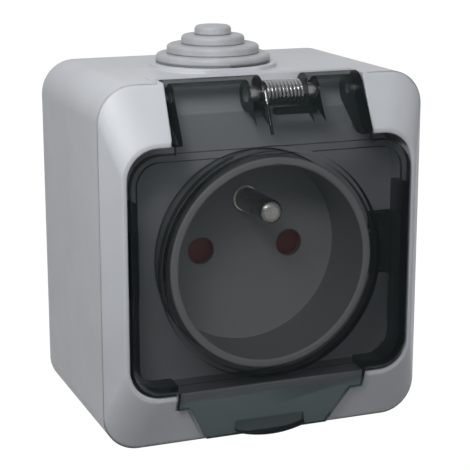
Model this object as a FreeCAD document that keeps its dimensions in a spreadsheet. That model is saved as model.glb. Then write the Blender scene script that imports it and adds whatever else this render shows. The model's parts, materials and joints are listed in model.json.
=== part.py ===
import FreeCAD, Part

import math
import os
import re

import Sketcher

# Surface-mounted weatherproof socket with a self-closing smoked lid.
# The frame's origin is the middle of the back face, which stands against the wall (the plane y = 0).
# X points right for someone in front of the socket, Z points up and the front faces -Y.
# Depths in the sheet are distances in front of the wall, so a depth D lies at y = -D.

SIZES = [
    ("width", 66.6, "box width"),
    ("height", 71.0, "box height"),
    ("seam_depth", 40.7, "depth of the joint between back box and cover"),
    ("corner_radius", 7.0, "outer corner radius of the box"),
    ("box_wall", 2.2, "side wall of the back box at its front edge"),
    ("ledge", 0.8, "width of the ledge that carries the gasket"),
    ("back_wall", 2.6, "wall of the back box against the building"),
    ("bevel_depth", 4.7, "how far the bevel rises from the joint to the rim"),
    ("bevel_side", 3.2, "how far the bevel leans in at each side"),
    ("bevel_rise", 10.45, "how far the bevel leans in above and below"),
    ("rim_radius", 7.0, "rim corner radius"),
    ("rim_land", 1.0, "rounded land between bevel and opening"),
    ("rim_inset", 0.3, "how far the recess wall ends behind the rim"),
    ("rim_round", 0.4, "rounding of the rim land"),
    ("cover_wall", 2.0, "wall of the bevelled cover"),
    ("tray_wall", 1.1, "side wall of the recess behind the lid"),
    ("tray_depth", 9.0, "depth of the recess behind the rim"),
    ("floor_wall", 1.6, "thickness of the recess floor"),
    ("lip_length", 3.2, "cover lip that plugs into the back box"),
    ("lip_wall", 1.0, "thickness of that lip"),
    ("gasket_height", 1.6, "height of the gasket under the lip"),
    ("seat_gap", 0.05, "gap of pieces that plug together"),
    ("cut_over", 1.0, "how far a cut runs past the surface that it opens"),
    ("room_gap", 0.3, "gap of the contacts and the spring in their rooms"),
    ("lid_proud", 1.0, "how far the lid's outer face stands in front of the rim"),
    ("lid_wall", 1.2, "thickness of the lid"),
    ("lid_side_gap", 0.4, "gap between the lid and the opening at the sides and bottom"),
    ("lid_top_gap", 1.1, "gap between the lid and the opening beside the hinge"),
    ("lid_round", 1.0, "rounding of the lid's front edge"),
    ("skirt_wall", 1.5, "thickness of the lid's skirt"),
    ("skirt_depth", 6.0, "length of the skirt, from the lid's outer face"),
    ("short_skirt", 2.2, "length of the skirt near the hinge, which swings past the rim"),
    ("skirt_step", 14.0, "height above the middle where the skirt gets short"),
    ("rib_gap", 1.0, "gap between the cup and the round rib inside the lid"),
    ("rib_wall", 1.0, "thickness of that rib"),
    ("rib_length", 1.8, "length of that rib"),
    ("axis_sink", 7.2, "how far the hinge axis lies behind the rim"),
    ("axis_drop", 3.4, "how far the hinge axis lies below the box's top"),
    ("cap_radius", 3.6, "outer radius of the lid's rolled top edge"),
    ("cap_wall", 0.75, "thickness of the rolled edge"),
    ("roll_share", 0.86, "where the plate's inner face meets the roll, as a share of its inner radius"),
    ("fold_drop", 6.9, "how far below the axis the lid bends back towards the hinge"),
    ("fold_foot", 4.0, "how far the plate of the hinge part runs down inside the lid"),
    ("hinge_width", 40.0, "width of the lid's hinge part"),
    ("hinge_gap", 0.4, "gap between the hinge part and the cover beside it"),
    ("trough_gap", 0.35, "gap round the rolled edge as it turns"),
    ("cheek_wall", 1.7, "thickness of the lid's hinge cheeks"),
    ("cheek_foot", 1.0, "how far the cheeks reach below the fold"),
    ("pin_radius", 1.0, "radius of the hinge pins"),
    ("pin_clearance", 0.05, "running clearance of the pins in the cover's side walls"),
    ("pin_inset", 0.2, "how far a pin's end lies inside the outer face of that wall"),
    ("coil_gap", 0.4, "side gap between the coil and the knuckles"),
    ("spring_start", -0.3, "place of the coil's left end"),
    ("spring_turns", 10.3991, "turns of the lid spring"),
    ("spring_pitch", 0.77, "pitch of the lid spring"),
    ("spring_phase", 248.0, "angle at which the lid's leg leaves the coil"),
    ("lid_leg_length", 8.6, "length of the leg on the lid"),
    ("leg_shift", 0.03, "how far that leg leans sideways for each millimetre"),
    ("cover_leg_length", 2.85, "length of the leg on the cover"),
    ("spring_radius", 2.25, "mean radius of the lid spring's coil"),
    ("wire_radius", 0.34, "wire radius of the lid spring"),
    ("arbor_radius", 1.6, "radius of the steel arbor inside the coil"),
    ("knuckle_wall", 2.4, "thickness of the lid's two knuckles, which hold the arbor"),
    ("knuckle_web", 2.6, "how far a knuckle's web reaches below the hinge axis"),
    ("window_lip", 2.2, "how far the front lip of the window over the coil lies before the axis"),
    ("tab_half", 19.5, "half width of the lid's finger tab at its top"),
    ("tab_shoulder", 17.0, "half width of the tab below its first step"),
    ("tab_foot", 12.6, "half width of the tab at its bottom edge"),
    ("step_reach", 2.15, "how far the tab's step lies below the rim"),
    ("tab_rise", 0.5, "how far the tab ends above the box's bottom"),
    ("tab_start", 18.0, "distance of the tab's hidden upper end below the middle"),
    ("tab_stand", 1.6, "how far the tab's bottom edge stands in front of the joint"),
    ("tab_sink", 0.85, "depth of the shallow seat for the tab at the rim"),
    ("tab_gap", 0.35, "gap between the tab and the cover"),
    ("grip_arc", 22.2, "radius of the grip's lower edge"),
    ("grip_half", 7.2, "half width of the grip at the foot of the tab"),
    ("grip_lift", 0.7, "how far the grip's lowest point lies above the box's bottom"),
    ("grip_stand", 4.2, "how far the grip's lip stands in front of the joint"),
    ("grip_start", 4.2, "how far above the tab's end the grip leaves its face"),
    ("grip_step", 0.8, "step of the grip's lip towards its face"),
    ("grip_throat", 2.2, "how far the inner corner of the lip's bend stands in front of the joint"),
    ("grip_bend", 0.7, "how far that corner lies below the place where the grip leaves its face"),
    ("grip_wall", 1.3, "thickness of the grip's lip"),
    ("cup_radius", 20.9, "outer radius of the socket cup"),
    ("cup_wall", 1.7, "wall of the socket cup"),
    ("cup_sink", 0.5, "how far the cup's front edge lies behind the rim"),
    ("cup_depth", 14.5, "depth of the socket cup"),
    ("cup_floor_wall", 1.6, "thickness of the cup's floor"),
    ("cup_gap", 0.3, "gap between the cup and the hole in the recess floor"),
    ("flange_reach", 2.0, "width of the cup's flange behind the cover"),
    ("flange_wall", 1.6, "thickness of that flange"),
    ("seal_height", 0.8, "height of the sealing ring on the flange"),
    ("contact_pitch", 19.0, "distance between the two contact holes"),
    ("contact_hole", 2.75, "radius of a contact hole"),
    ("earth_height", 10.0, "earth pin above the line of the contact holes"),
    ("earth_radius", 2.4, "radius of the earth pin"),
    ("shoulder_step", 0.2, "how far the earth pin's shoulder in the cup's floor stands out"),
    ("shoulder_rise", 0.2, "how far that shoulder stands in front of the floor"),
    ("earth_length", 14.2, "length of the earth pin in front of the cup's floor"),
    ("earth_collar", 3.6, "radius of the collar on the foot of the earth pin"),
    ("shutter_wall", 1.4, "thickness of the shutter"),
    ("shutter_slack", 0.08, "running gap of the shutter on each face"),
    ("shutter_half", 13.0, "half width of the shutter"),
    ("shutter_cover", 3.6, "half height of the part of the shutter behind the holes"),
    ("shutter_travel", 6.6, "travel of the shutter"),
    ("stem_length", 2.0, "length of the stem that the spring pushes"),
    ("block_half", 17.0, "half width of the mechanism block"),
    ("block_top", 15.0, "height of the mechanism block above the middle"),
    ("block_bottom", 17.0, "depth of the mechanism block below the middle"),
    ("block_back", 11.0, "depth of the mechanism block's back face"),
    ("lug_half", 5.0, "half width of the fixing lugs"),
    ("lug_reach", 24.0, "how far the lugs reach above and below the middle"),
    ("lug_wall", 2.5, "thickness of the lugs"),
    ("post_height", 20.3, "fixing posts above and below the middle"),
    ("post_radius", 3.2, "radius of posts and bosses in the back box"),
    ("screw_radius", 1.5, "shank radius of the screws"),
    ("head_radius", 1.95, "radius of the screw heads"),
    ("head_height", 1.9, "height of the screw heads"),
    ("screw_bite", 12.0, "length of a cover screw in its boss"),
    ("screw_short", 0.5, "how far a screw ends before the bottom of its bore"),
    ("post_bore", 7.0, "depth of the bore in a mechanism post"),
    ("clip_gap", 4.5, "distance between the leaves of a contact clip"),
    ("clip_wall", 0.7, "thickness of the contact brass"),
    ("clip_width", 6.0, "width of the contact clips"),
    ("clip_flare", 0.8, "how far the mouth of a clip opens on each side"),
    ("flare_length", 1.5, "length of the flared mouth of a clip"),
    ("clip_length", 10.4, "length of the clips"),
    ("clip_sink", 4.0, "how far the clips' mouth lies behind the cup's floor"),
    ("collar_wall", 3.0, "thickness of the earth pin's collar"),
    ("pin_round", 1.5, "rounding of the earth pin's tip"),
    ("slot_floor", 1.6, "wall under the shutter's spring"),
    ("return_length", 9.8, "length of the shutter's spring"),
    ("return_turns", 7.0, "turns of the shutter's spring"),
    ("return_radius", 0.6, "mean radius of the shutter's spring"),
    ("return_wire", 0.12, "wire radius of the shutter's spring"),
    ("slot_width", 0.7, "width of the slot in a screw head"),
    ("slot_depth", 0.9, "depth of that slot"),
    ("step_round", 0.8, "rounding of the grommet's steps"),
    ("terminal_half", 3.4, "half width of a terminal block"),
    ("terminal_drop", 11.6, "distance of the terminals below the middle"),
    ("terminal_sink", 1.0, "how far the terminals lie inside the block's back face"),
    ("terminal_lift", 1.2, "how far a terminal screw's head seat lies behind its terminal"),
    ("wire_rise", 4.4, "how far the wire holes lie in front of the block's back face"),
    ("terminal_height", 8.0, "height of the terminals' front face above the block's back face"),
    ("wire_bore", 1.6, "radius of the wire hole in a terminal"),
    ("terminal_screw", 1.6, "shank radius of a terminal screw"),
    ("terminal_head", 2.6, "head radius of a terminal screw"),
    ("strap_half", 2.6, "half width of the earth strap"),
    ("boss_inset", 2.75, "distance of a cover screw from the side of the lid opening"),
    ("well_width", 4.8, "width of a screw well"),
    ("well_half", 6.6, "half height of a screw well"),
    ("well_sink", 8.9, "how far a screw well's floor lies behind the recess floor"),
    ("well_wall", 1.2, "wall of a screw well"),
    ("cup_liner", 0.7, "wall of the black seal in a screw well"),
    ("tongue_rise", 3.6, "how far the seal's side tongue reaches in front of the recess floor"),
    ("entry_side", 3.5, "cable entry, left of the middle"),
    ("entry_depth", 21.6, "depth of the cable entry"),
    ("entry_radius", 9.0, "radius of the cable entry hole"),
    ("collar_land", 3.6, "width of the raised collar round the cable entry"),
    ("collar_height", 1.0, "height of that collar"),
    ("step_height", 1.8, "height of one step of the grommet"),
    ("step_land", 2.4, "how far the grommet's widest step reaches over the hole"),
    ("step_two", 9.2, "radius of the second step"),
    ("step_three", 6.3, "radius of the third step"),
    ("step_four", 3.65, "radius of the knob"),
    ("grommet_wall", 1.3, "wall of the grommet"),
    ("fixing_side", 10.3, "distance of the wall fixing holes from the box's sides"),
    ("fixing_end", 9.5, "distance of the wall fixing holes from the box's top and bottom"),
    ("fixing_radius", 2.25, "radius of a wall fixing hole"),
    ("knockout_radius", 8.0, "radius of the knock-out in the bottom wall"),
    ("knockout_groove", 1.2, "depth of its groove"),
]
ALIASES = {name for name, _, _ in SIZES}
# Sizes that follow from others, so that a change of one keeps the pieces together
DERIVED = {
    "ledge_wall": "box_wall + ledge",
    "rim_width": "width - 2 * bevel_side",
    "rim_height": "height - 2 * bevel_rise",
    "rim_depth": "seam_depth + bevel_depth",
    "open_half": "rim_width / 2 - rim_land",
    "floor_depth": "rim_depth - tray_depth",
    "lid_front": "rim_depth + lid_proud",
    "lid_radius": "rim_radius - rim_land",
    "rib_radius": "cup_radius + rib_gap",
    "axis_depth": "rim_depth - axis_sink",
    "axis_height": "height / 2 - axis_drop",
    "fold_height": "axis_height - fold_drop",
    "tab_step": "rim_height / 2 + step_reach",
    "tab_end": "height / 2 - tab_rise",
    "grip_low": "height / 2 - grip_lift",
    "grip_front": "seam_depth + grip_stand",
    "cup_bore": "cup_radius - cup_wall",
    "cup_front": "rim_depth - cup_sink",
    "cup_floor": "cup_front - cup_depth",
    "flange_radius": "cup_radius + flange_reach",
    "shoulder_radius": "earth_radius + shoulder_step",
    "clip_front": "cup_floor - clip_sink",
    "clip_back": "clip_front - clip_length",
    "wire_depth": "block_back + wire_rise",
    "terminal_depth": "block_back + terminal_height",
    "boss_side": "open_half - boss_inset",
    "well_inner": "open_half - well_width",
    "well_depth": "floor_depth - well_sink",
    "tongue_depth": "floor_depth + tongue_rise",
    "collar_radius": "entry_radius + collar_land",
    "step_one": "entry_radius + step_land",
    "fixing_spread": "width - 2 * fixing_side",
    "fixing_rise": "height - 2 * fixing_end",
}
# Planes of a body that sketches lie on: parallel to the wall, to the box's sides and to its top
FRONT, SIDE, TOP = "XZ_Plane", "YZ_Plane", "XY_Plane"
# Two lengths are taken as equal below this difference
CLOSE = 1e-3

doc = FreeCAD.newDocument("weatherproof_socket")
sheet = doc.addObject("Spreadsheet::Sheet", "sizes")
for row, (alias, number, note) in enumerate(SIZES, start=1):
    sheet.set(f"A{row}", note)
    sheet.set(f"B{row}", str(number))
    sheet.setAlias(f"B{row}", alias)
doc.recompute()


def bound(text):
    """Turn size names in a formula into references to the sheet."""
    def refer(match):
        word = match.group(0)
        if word in DERIVED:
            return f"({bound(DERIVED[word])})"
        return f"sizes.{word}" if word in ALIASES else word
    return re.sub(r"[a-z_]+", refer, str(text))


def number(text):
    """Value that a formula has now."""
    return float(sheet.evalExpression(bound(text)))


def new_body(name):
    body = doc.addObject("PartDesign::Body", name)
    body.Label = name
    return body


def place(obj, x="0", y="0", z="0"):
    for axis, text in zip("xyz", (x, y, z)):
        obj.setExpression(f"Placement.Base.{axis}", bound(text))


def new_sketch(body, name, plane, offset):
    sketch = body.newObject("Sketcher::SketchObject", name)
    for feature in body.Origin.OriginFeatures:
        if feature.Role == plane:
            sketch.AttachmentSupport = (feature, [""])
    sketch.MapMode = "FlatFace"
    sketch.setExpression("AttachmentOffset.Base.z", bound(offset))
    return sketch


def pin_point(sketch, geometry, end, across, up):
    """Tie a point of the sketch to the origin by two bound distances."""
    for kind, text, axis in (("DistanceX", across, -2), ("DistanceY", up, -1)):
        if str(text) == "0":
            sketch.addConstraint(Sketcher.Constraint("PointOnObject", geometry, end, axis))
            continue
        index = sketch.addConstraint(Sketcher.Constraint(kind, -1, 1, geometry, end, number(text)))
        sketch.setExpression(f"Constraints[{index}]", bound(text))


def bind_radius(sketch, geometry, text):
    index = sketch.addConstraint(Sketcher.Constraint("Radius", geometry, number(text)))
    sketch.setExpression(f"Constraints[{index}]", bound(text))


def outline(body, name, plane, points, offset="0"):
    """Closed outline of straight edges, each corner tied to the sheet."""
    sketch = new_sketch(body, name, plane, offset)
    corners = [FreeCAD.Vector(number(u), number(v), 0) for u, v in points]
    count = len(corners)
    for i in range(count):
        sketch.addGeometry(Part.LineSegment(corners[i], corners[(i + 1) % count]))
    for i in range(count):
        sketch.addConstraint(Sketcher.Constraint("Coincident", i, 2, (i + 1) % count, 1))
    for i, (u, v) in enumerate(points):
        pin_point(sketch, i, 1, u, v)
    return sketch


def rectangle(body, name, plane, left, right, low, high, offset="0"):
    corners = [(left, low), (right, low), (right, high), (left, high)]
    return outline(body, name, plane, corners, offset)


def circles(body, name, plane, places, radius, offset="0"):
    """One or more circles of the same radius."""
    sketch = new_sketch(body, name, plane, offset)
    for i, (u, v) in enumerate(places):
        centre = FreeCAD.Vector(number(u), number(v), 0)
        sketch.addGeometry(Part.Circle(centre, FreeCAD.Vector(0, 0, 1), number(radius)))
        pin_point(sketch, i, 3, u, v)
        bind_radius(sketch, i, radius)
    return sketch


def rounded(body, name, half, low, high, radius, offset="0"):
    """Rounded rectangle on a plane parallel to the wall, from one height to another."""
    sketch = new_sketch(body, name, FRONT, offset)
    w, a, b, r = number(half), number(low), number(high), number(radius)
    vector = FreeCAD.Vector
    sides = [
        (vector(-w + r, a, 0), vector(w - r, a, 0)),
        (vector(w, a + r, 0), vector(w, b - r, 0)),
        (vector(w - r, b, 0), vector(-w + r, b, 0)),
        (vector(-w, b - r, 0), vector(-w, a + r, 0)),
    ]
    centres = [(w - r, a + r), (w - r, b - r), (-w + r, b - r), (-w + r, a + r)]
    for start, end in sides:
        sketch.addGeometry(Part.LineSegment(start, end))
    for i, (cx, cy) in enumerate(centres):
        circle = Part.Circle(vector(cx, cy, 0), vector(0, 0, 1), r)
        sketch.addGeometry(Part.ArcOfCircle(circle, (i - 1) * math.pi / 2, i * math.pi / 2))
    for i in range(4):
        sketch.addConstraint(Sketcher.Constraint("Tangent", i, 2, 4 + i, 1))
        sketch.addConstraint(Sketcher.Constraint("Tangent", 4 + i, 2, (i + 1) % 4, 1))
    for i in (0, 2):
        sketch.addConstraint(Sketcher.Constraint("Horizontal", i))
        sketch.addConstraint(Sketcher.Constraint("Vertical", i + 1))
    for i in range(1, 4):
        sketch.addConstraint(Sketcher.Constraint("Equal", 4, 4 + i))
    bind_radius(sketch, 4, radius)
    for kind, line, text in (("DistanceY", 0, low), ("DistanceX", 1, half),
                             ("DistanceY", 2, high), ("DistanceX", 3, f"-({half})")):
        index = sketch.addConstraint(Sketcher.Constraint(kind, -1, 1, line, 1, number(text)))
        sketch.setExpression(f"Constraints[{index}]", bound(text))
    return sketch


def grow(body, kind, name, sketch, length, both_ways=False, backwards=False):
    """Pad or pocket of a sketch. A pad grows along the sketch's normal, a pocket cuts against it."""
    feature = body.newObject(kind, name)
    feature.Profile = sketch
    feature.setExpression("Length", bound(length))
    if both_ways:
        feature.Midplane = True
    feature.Reversed = backwards
    body.Tip = feature
    return feature


def pad(body, name, sketch, length, both_ways=False, backwards=False):
    return grow(body, "PartDesign::Pad", name, sketch, length, both_ways, backwards)


def pocket(body, name, sketch, length, both_ways=False, backwards=False):
    """Cut a sketch out of a body, and make sure that it took material away."""
    doc.recompute()
    before = body.Shape.Volume
    feature = grow(body, "PartDesign::Pocket", name, sketch, length, both_ways, backwards)
    doc.recompute()
    if body.Shape.Volume > before - CLOSE:
        raise RuntimeError(f"{name} cuts nothing")
    return feature


def turn(body, name, sketch, axis="V_Axis"):
    feature = body.newObject("PartDesign::Revolution", name)
    feature.Profile = sketch
    feature.ReferenceAxis = (sketch, [axis])
    feature.Angle = 360
    body.Tip = feature
    return feature


def round_edges(body, name, radius, chosen):
    """Fillet the edges of the body's present shape that a test picks."""
    doc.recompute()
    base = body.Tip
    names = [f"Edge{i}" for i, edge in enumerate(base.Shape.Edges, start=1) if chosen(edge)]
    if not names:
        raise RuntimeError(f"{name} finds no edges")
    feature = body.newObject("PartDesign::Fillet", name)
    feature.Base = (base, names)
    feature.setExpression("Radius", bound(radius))
    body.Tip = feature
    return feature


def at_depth(depth):
    """Test for edges that lie wholly at one depth in front of the wall."""
    def test(edge):
        box = edge.BoundBox
        return max(abs(box.YMin + depth), abs(box.YMax + depth)) < CLOSE
    return test


def mirrored_x(name, source):
    """A second piece, the first one's mirror image in the plane x = 0."""
    piece = doc.addObject("Part::Mirroring", name)
    piece.Label = name
    piece.Source = source
    piece.Normal = FreeCAD.Vector(1, 0, 0)
    return piece


HALF_W = "width / 2"
HALF_H = "height / 2"
OPEN_W = "open_half"
OPEN_H = "(rim_height / 2 - rim_land)"
LID_IN = "(lid_front - lid_wall)"
BAY_HALF = "(hinge_width / 2 + hinge_gap)"
BAY_WALL = f"({BAY_HALF} + tray_wall)"
TROUGH = "(cap_radius + trough_gap)"
AXIS = [("-axis_depth", "axis_height")]
COIL = "(spring_turns * spring_pitch + 2 * wire_radius)"
ARBOR = f"({COIL} + 2 * coil_gap + 2 * knuckle_wall)"
KNUCKLES = ["spring_start - coil_gap - knuckle_wall", f"spring_start + {COIL} + coil_gap"]
SCREW_PLACES = [("boss_side", "0"), ("-boss_side", "0")]
POSTS = [("0", "post_height"), ("0", "-post_height")]
ENTRY = [("-entry_side", "-entry_depth")]
POLES = [("contact_pitch / 2", "0"), ("-contact_pitch / 2", "0")]
CHANNEL = "(shutter_wall + 2 * shutter_slack)"
BLOCK_FRONT = "(cup_floor - cup_floor_wall)"
FLANGE_FRONT = "(floor_depth - floor_wall - seal_height)"


def mirror_feature(body, name, originals):
    """Repeat features of a body on the other side of the plane x = 0."""
    feature = body.newObject("PartDesign::Mirrored", name)
    feature.Originals = originals
    for plane in body.Origin.OriginFeatures:
        if plane.Role == SIDE:
            feature.MirrorPlane = (plane, [""])
    body.Tip = feature
    return feature


def loft(body, kind, name, first, last):
    feature = body.newObject(kind, name)
    feature.Profile = first
    feature.Sections = [last]
    feature.Ruled = True
    body.Tip = feature
    return feature


def make_back_box():
    body = new_body("back_box")
    shell = rounded(body, "box_outline", HALF_W, f"-{HALF_H}", HALF_H, "corner_radius")
    pad(body, "box_block", shell, "seam_depth")
    collar = circles(body, "collar_outline", TOP, ENTRY, "collar_radius", f"{HALF_H} - box_wall / 2")
    pad(body, "collar", collar, "collar_height + box_wall / 2")
    room = rounded(body, "room_outline", "width / 2 - ledge_wall", "ledge_wall - height / 2",
                   "height / 2 - ledge_wall", "corner_radius - ledge_wall", "seam_depth")
    pocket(body, "room", room, "seam_depth - back_wall")
    ledge = rounded(body, "ledge_outline", "width / 2 - box_wall", "box_wall - height / 2",
                    "height / 2 - box_wall", "corner_radius - box_wall", "seam_depth")
    pocket(body, "ledge", ledge, "lip_length + gasket_height")
    notch = rectangle(body, "notch_outline", FRONT, f"-{BAY_WALL} - seat_gap", f"{BAY_WALL} + seat_gap",
                      "height / 2 - ledge_wall - cut_over", "height / 2 + cut_over", "seam_depth")
    pocket(body, "hinge_notch", notch, f"seam_depth - axis_depth + {TROUGH} + tray_wall + seat_gap")
    bosses = circles(body, "boss_outline", FRONT, SCREW_PLACES, "post_radius", "back_wall")
    pad(body, "cover_bosses", bosses, "well_depth - well_wall - back_wall")
    posts = circles(body, "post_outline", FRONT, POSTS, "post_radius", "back_wall")
    pad(body, "mechanism_posts", posts, "block_back - back_wall")
    boss_bores = circles(body, "boss_bore_outline", FRONT, SCREW_PLACES, "screw_radius",
                         "well_depth - well_wall")
    pocket(body, "boss_bores", boss_bores, "screw_bite")
    post_bores = circles(body, "post_bore_outline", FRONT, POSTS, "screw_radius", "block_back")
    pocket(body, "post_bores", post_bores, "post_bore")
    entry = circles(body, "entry_outline", TOP, ENTRY, "entry_radius", f"{HALF_H} + collar_height + cut_over")
    pocket(body, "cable_entry", entry, "collar_height + ledge_wall + 2 * cut_over")
    fixings = [(f"{sx}fixing_spread / 2", f"{sz}fixing_rise / 2") for sx in ("", "-") for sz in ("", "-")]
    holes = circles(body, "fixing_outline", FRONT, fixings, "fixing_radius", "back_wall + cut_over")
    pocket(body, "wall_fixings", holes, "back_wall + 2 * cut_over")
    knock = circles(body, "knockout_outline", TOP, ENTRY, "knockout_radius", f"-{HALF_H} - cut_over")
    knock_in = circles(body, "knockout_core", TOP, ENTRY, "knockout_radius - knockout_groove",
                       f"-{HALF_H}")
    pocket(body, "knockout", knock, "cut_over + knockout_groove", backwards=True)
    pad(body, "knockout_plug", knock_in, "knockout_groove")
    return body


def tab_seat():
    """Shallow seat in the cover's lower bevel, where the lid's tab lies."""
    side = new_body("tab_seat_depth")
    corners = [("-(rim_depth - tab_sink)", "-tab_start"), ("-(rim_depth - tab_sink)", "-rim_height / 2"),
               ("-(seam_depth + seat_gap)", "-height / 2"),
               ("-(seam_depth + seat_gap)", "-height / 2 - 2 * cut_over"),
               ("-(lid_front + 2 * cut_over)", "-height / 2 - 2 * cut_over"),
               ("-(lid_front + 2 * cut_over)", "-tab_start")]
    pad(side, "seat_slab", outline(side, "seat_profile", SIDE, corners), "3 * tab_half", True)
    front = tab_outline("tab_seat_width", "tab_gap")
    return common("tab_seat", side, front)


def tab_outline(name, spread):
    """The tab's outline seen from the front, stepped and narrowing, widened by a gap."""
    body = new_body(name)
    foot = f"tab_foot + {spread}"
    step = f"tab_step + {spread}"
    corners = [(f"tab_half + {spread}", "-tab_start"), (f"tab_half + {spread}", f"-({step})"),
               (f"tab_shoulder + {spread}", f"-({step})"), (foot, f"-(height / 2 + {spread})"),
               (f"-({foot})", f"-(height / 2 + {spread})"), (f"-(tab_shoulder + {spread})", f"-({step})"),
               (f"-(tab_half + {spread})", f"-({step})"), (f"-(tab_half + {spread})", "-tab_start")]
    pad(body, f"{name}_prism", outline(body, f"{name}_outline", FRONT, corners, "cup_floor"), "lid_front")
    return body


def common(name, first, second):
    both = doc.addObject("Part::MultiCommon", name)
    both.Shapes = [first, second]
    return both


def make_front_cover():
    body = new_body("cover_shell")
    seam = rounded(body, "seam_outline", HALF_W, f"-{HALF_H}", HALF_H, "corner_radius", "seam_depth")
    rim = rounded(body, "rim_outline", "rim_width / 2", "-rim_height / 2", "rim_height / 2",
                  "rim_radius", "rim_depth")
    loft(body, "PartDesign::AdditiveLoft", "bevel", seam, rim)
    lip = rounded(body, "lip_outline", "width / 2 - box_wall - seat_gap",
                  "box_wall + seat_gap - height / 2", "height / 2 - box_wall - seat_gap",
                  "corner_radius - box_wall - seat_gap", "seam_depth - lip_length")
    pad(body, "lip", lip, "lip_length")
    inner = "box_wall + seat_gap + lip_wall"
    hollow = rounded(body, "hollow_outline", f"width / 2 - ({inner})", f"{inner} - height / 2",
                     f"height / 2 - ({inner})", f"corner_radius - ({inner})", "seam_depth")
    pocket(body, "lip_room", hollow, "lip_length + cut_over")
    wide = rounded(body, "hollow_back", f"width / 2 - ({inner})", f"{inner} - height / 2",
                   f"height / 2 - ({inner})", f"corner_radius - ({inner})", "seam_depth")
    narrow = rounded(body, "hollow_front", "rim_width / 2 - cover_wall / 2",
                     "-rim_height / 2 - cover_wall / 3", "rim_height / 2 + cover_wall / 3",
                     "corner_radius - box_wall", "rim_depth - cover_wall")
    loft(body, "PartDesign::SubtractiveLoft", "bevel_room", wide, narrow)
    tray = rounded(body, "tray_outline", f"{OPEN_W} + tray_wall", f"-{OPEN_H} - tray_wall",
                   f"{OPEN_H} + tray_wall", "rim_radius - rim_land + tray_wall",
                   "floor_depth - floor_wall")
    pad(body, "tray", tray, "rim_depth - rim_inset - floor_depth + floor_wall")
    behind = f"-(axis_depth - {TROUGH} - tray_wall)"
    bay = [(behind, f"{OPEN_H} - cut_over"), ("-(rim_depth - rim_inset)", f"{OPEN_H} - cut_over"),
           ("-(rim_depth - rim_inset)", "rim_height / 2"), ("-seam_depth", HALF_H), (behind, HALF_H)]
    pad(body, "bay_block", outline(body, "bay_profile", SIDE, bay), f"2 * {BAY_WALL}", True)
    well = rectangle(body, "well_wall_outline", FRONT, "well_inner - well_wall",
                     f"{OPEN_W} + tray_wall - seat_gap", "-well_half - well_wall",
                     "well_half + well_wall", "well_depth - well_wall")
    walls = pad(body, "well_walls", well, "floor_depth - floor_wall / 2 - well_depth + well_wall")
    mirror_feature(body, "well_walls_left", [walls])
    doc.recompute()
    opening = rounded(body, "opening_outline", OPEN_W, f"-{OPEN_H}", OPEN_H, "rim_radius - rim_land",
                      "rim_depth + cut_over")
    pocket(body, "opening", opening, "rim_depth + cut_over - floor_depth")
    bay_cut = rectangle(body, "bay_room_outline", FRONT, f"-{BAY_HALF}", BAY_HALF,
                        f"{OPEN_H} - 2 * cut_over", "height / 2 + cut_over", "rim_depth + cut_over")
    pocket(body, "bay_room", bay_cut, "rim_depth + cut_over - floor_depth")
    trough = circles(body, "trough_outline", SIDE, AXIS, TROUGH)
    pocket(body, "trough", trough, f"2 * {BAY_HALF}", True)
    over = rectangle(body, "trough_mouth_outline", SIDE, "-axis_depth - cut_over",
                     f"-(axis_depth - {TROUGH})", "axis_height", "height / 2 + cut_over")
    pocket(body, "trough_mouth", over, f"2 * {BAY_HALF}", True)
    room = rectangle(body, "well_outline", FRONT, "well_inner", OPEN_W, "-well_half", "well_half",
                     "floor_depth + seat_gap")
    cut = pocket(body, "well_room", room, "floor_depth + seat_gap - well_depth")
    mirror_feature(body, "well_room_left", [cut])
    hole = circles(body, "cup_hole_outline", FRONT, [("0", "0")], "cup_radius + cup_gap",
                   "floor_depth + seat_gap")
    pocket(body, "cup_hole", hole, "floor_wall + cut_over")
    screws = circles(body, "screw_hole_outline", FRONT, SCREW_PLACES, "screw_radius + pin_clearance",
                     "well_depth + seat_gap")
    pocket(body, "screw_holes", screws, "well_wall + cut_over")
    bores = circles(body, "pin_bore_outline", SIDE, AXIS, "pin_radius + pin_clearance")
    pocket(body, "pin_bores", bores, f"2 * {BAY_WALL} + 2 * seat_gap", True)
    round_edges(body, "rim_rounding", "rim_round", at_depth(number("rim_depth")))
    cover = doc.addObject("Part::Cut", "front_cover")
    cover.Label = "front_cover"
    cover.Base = body
    cover.Tool = tab_seat()
    return cover


def make_gasket():
    """Rubber frame on the ledge of the back box, pressed by the cover's lip."""
    body = new_body("cover_gasket")
    out = "box_wall + seat_gap"
    base = "seam_depth - lip_length - gasket_height"
    outer = rounded(body, "gasket_outer", f"width / 2 - ({out})", f"{out} - height / 2",
                    f"height / 2 - ({out})", f"corner_radius - ({out})", base)
    pad(body, "gasket_block", outer, "gasket_height")
    inner = rounded(body, "gasket_inner", "width / 2 - ledge_wall", "ledge_wall - height / 2",
                    "height / 2 - ledge_wall", "corner_radius - ledge_wall", "seam_depth")
    pocket(body, "gasket_room", inner, "lip_length + gasket_height + cut_over")
    notch = rectangle(body, "gasket_notch", FRONT, f"-{BAY_WALL} - seat_gap", f"{BAY_WALL} + seat_gap",
                      "0", "height / 2 + cut_over", "seam_depth")
    pocket(body, "gasket_break", notch, "lip_length + gasket_height + cut_over")
    return body


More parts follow.
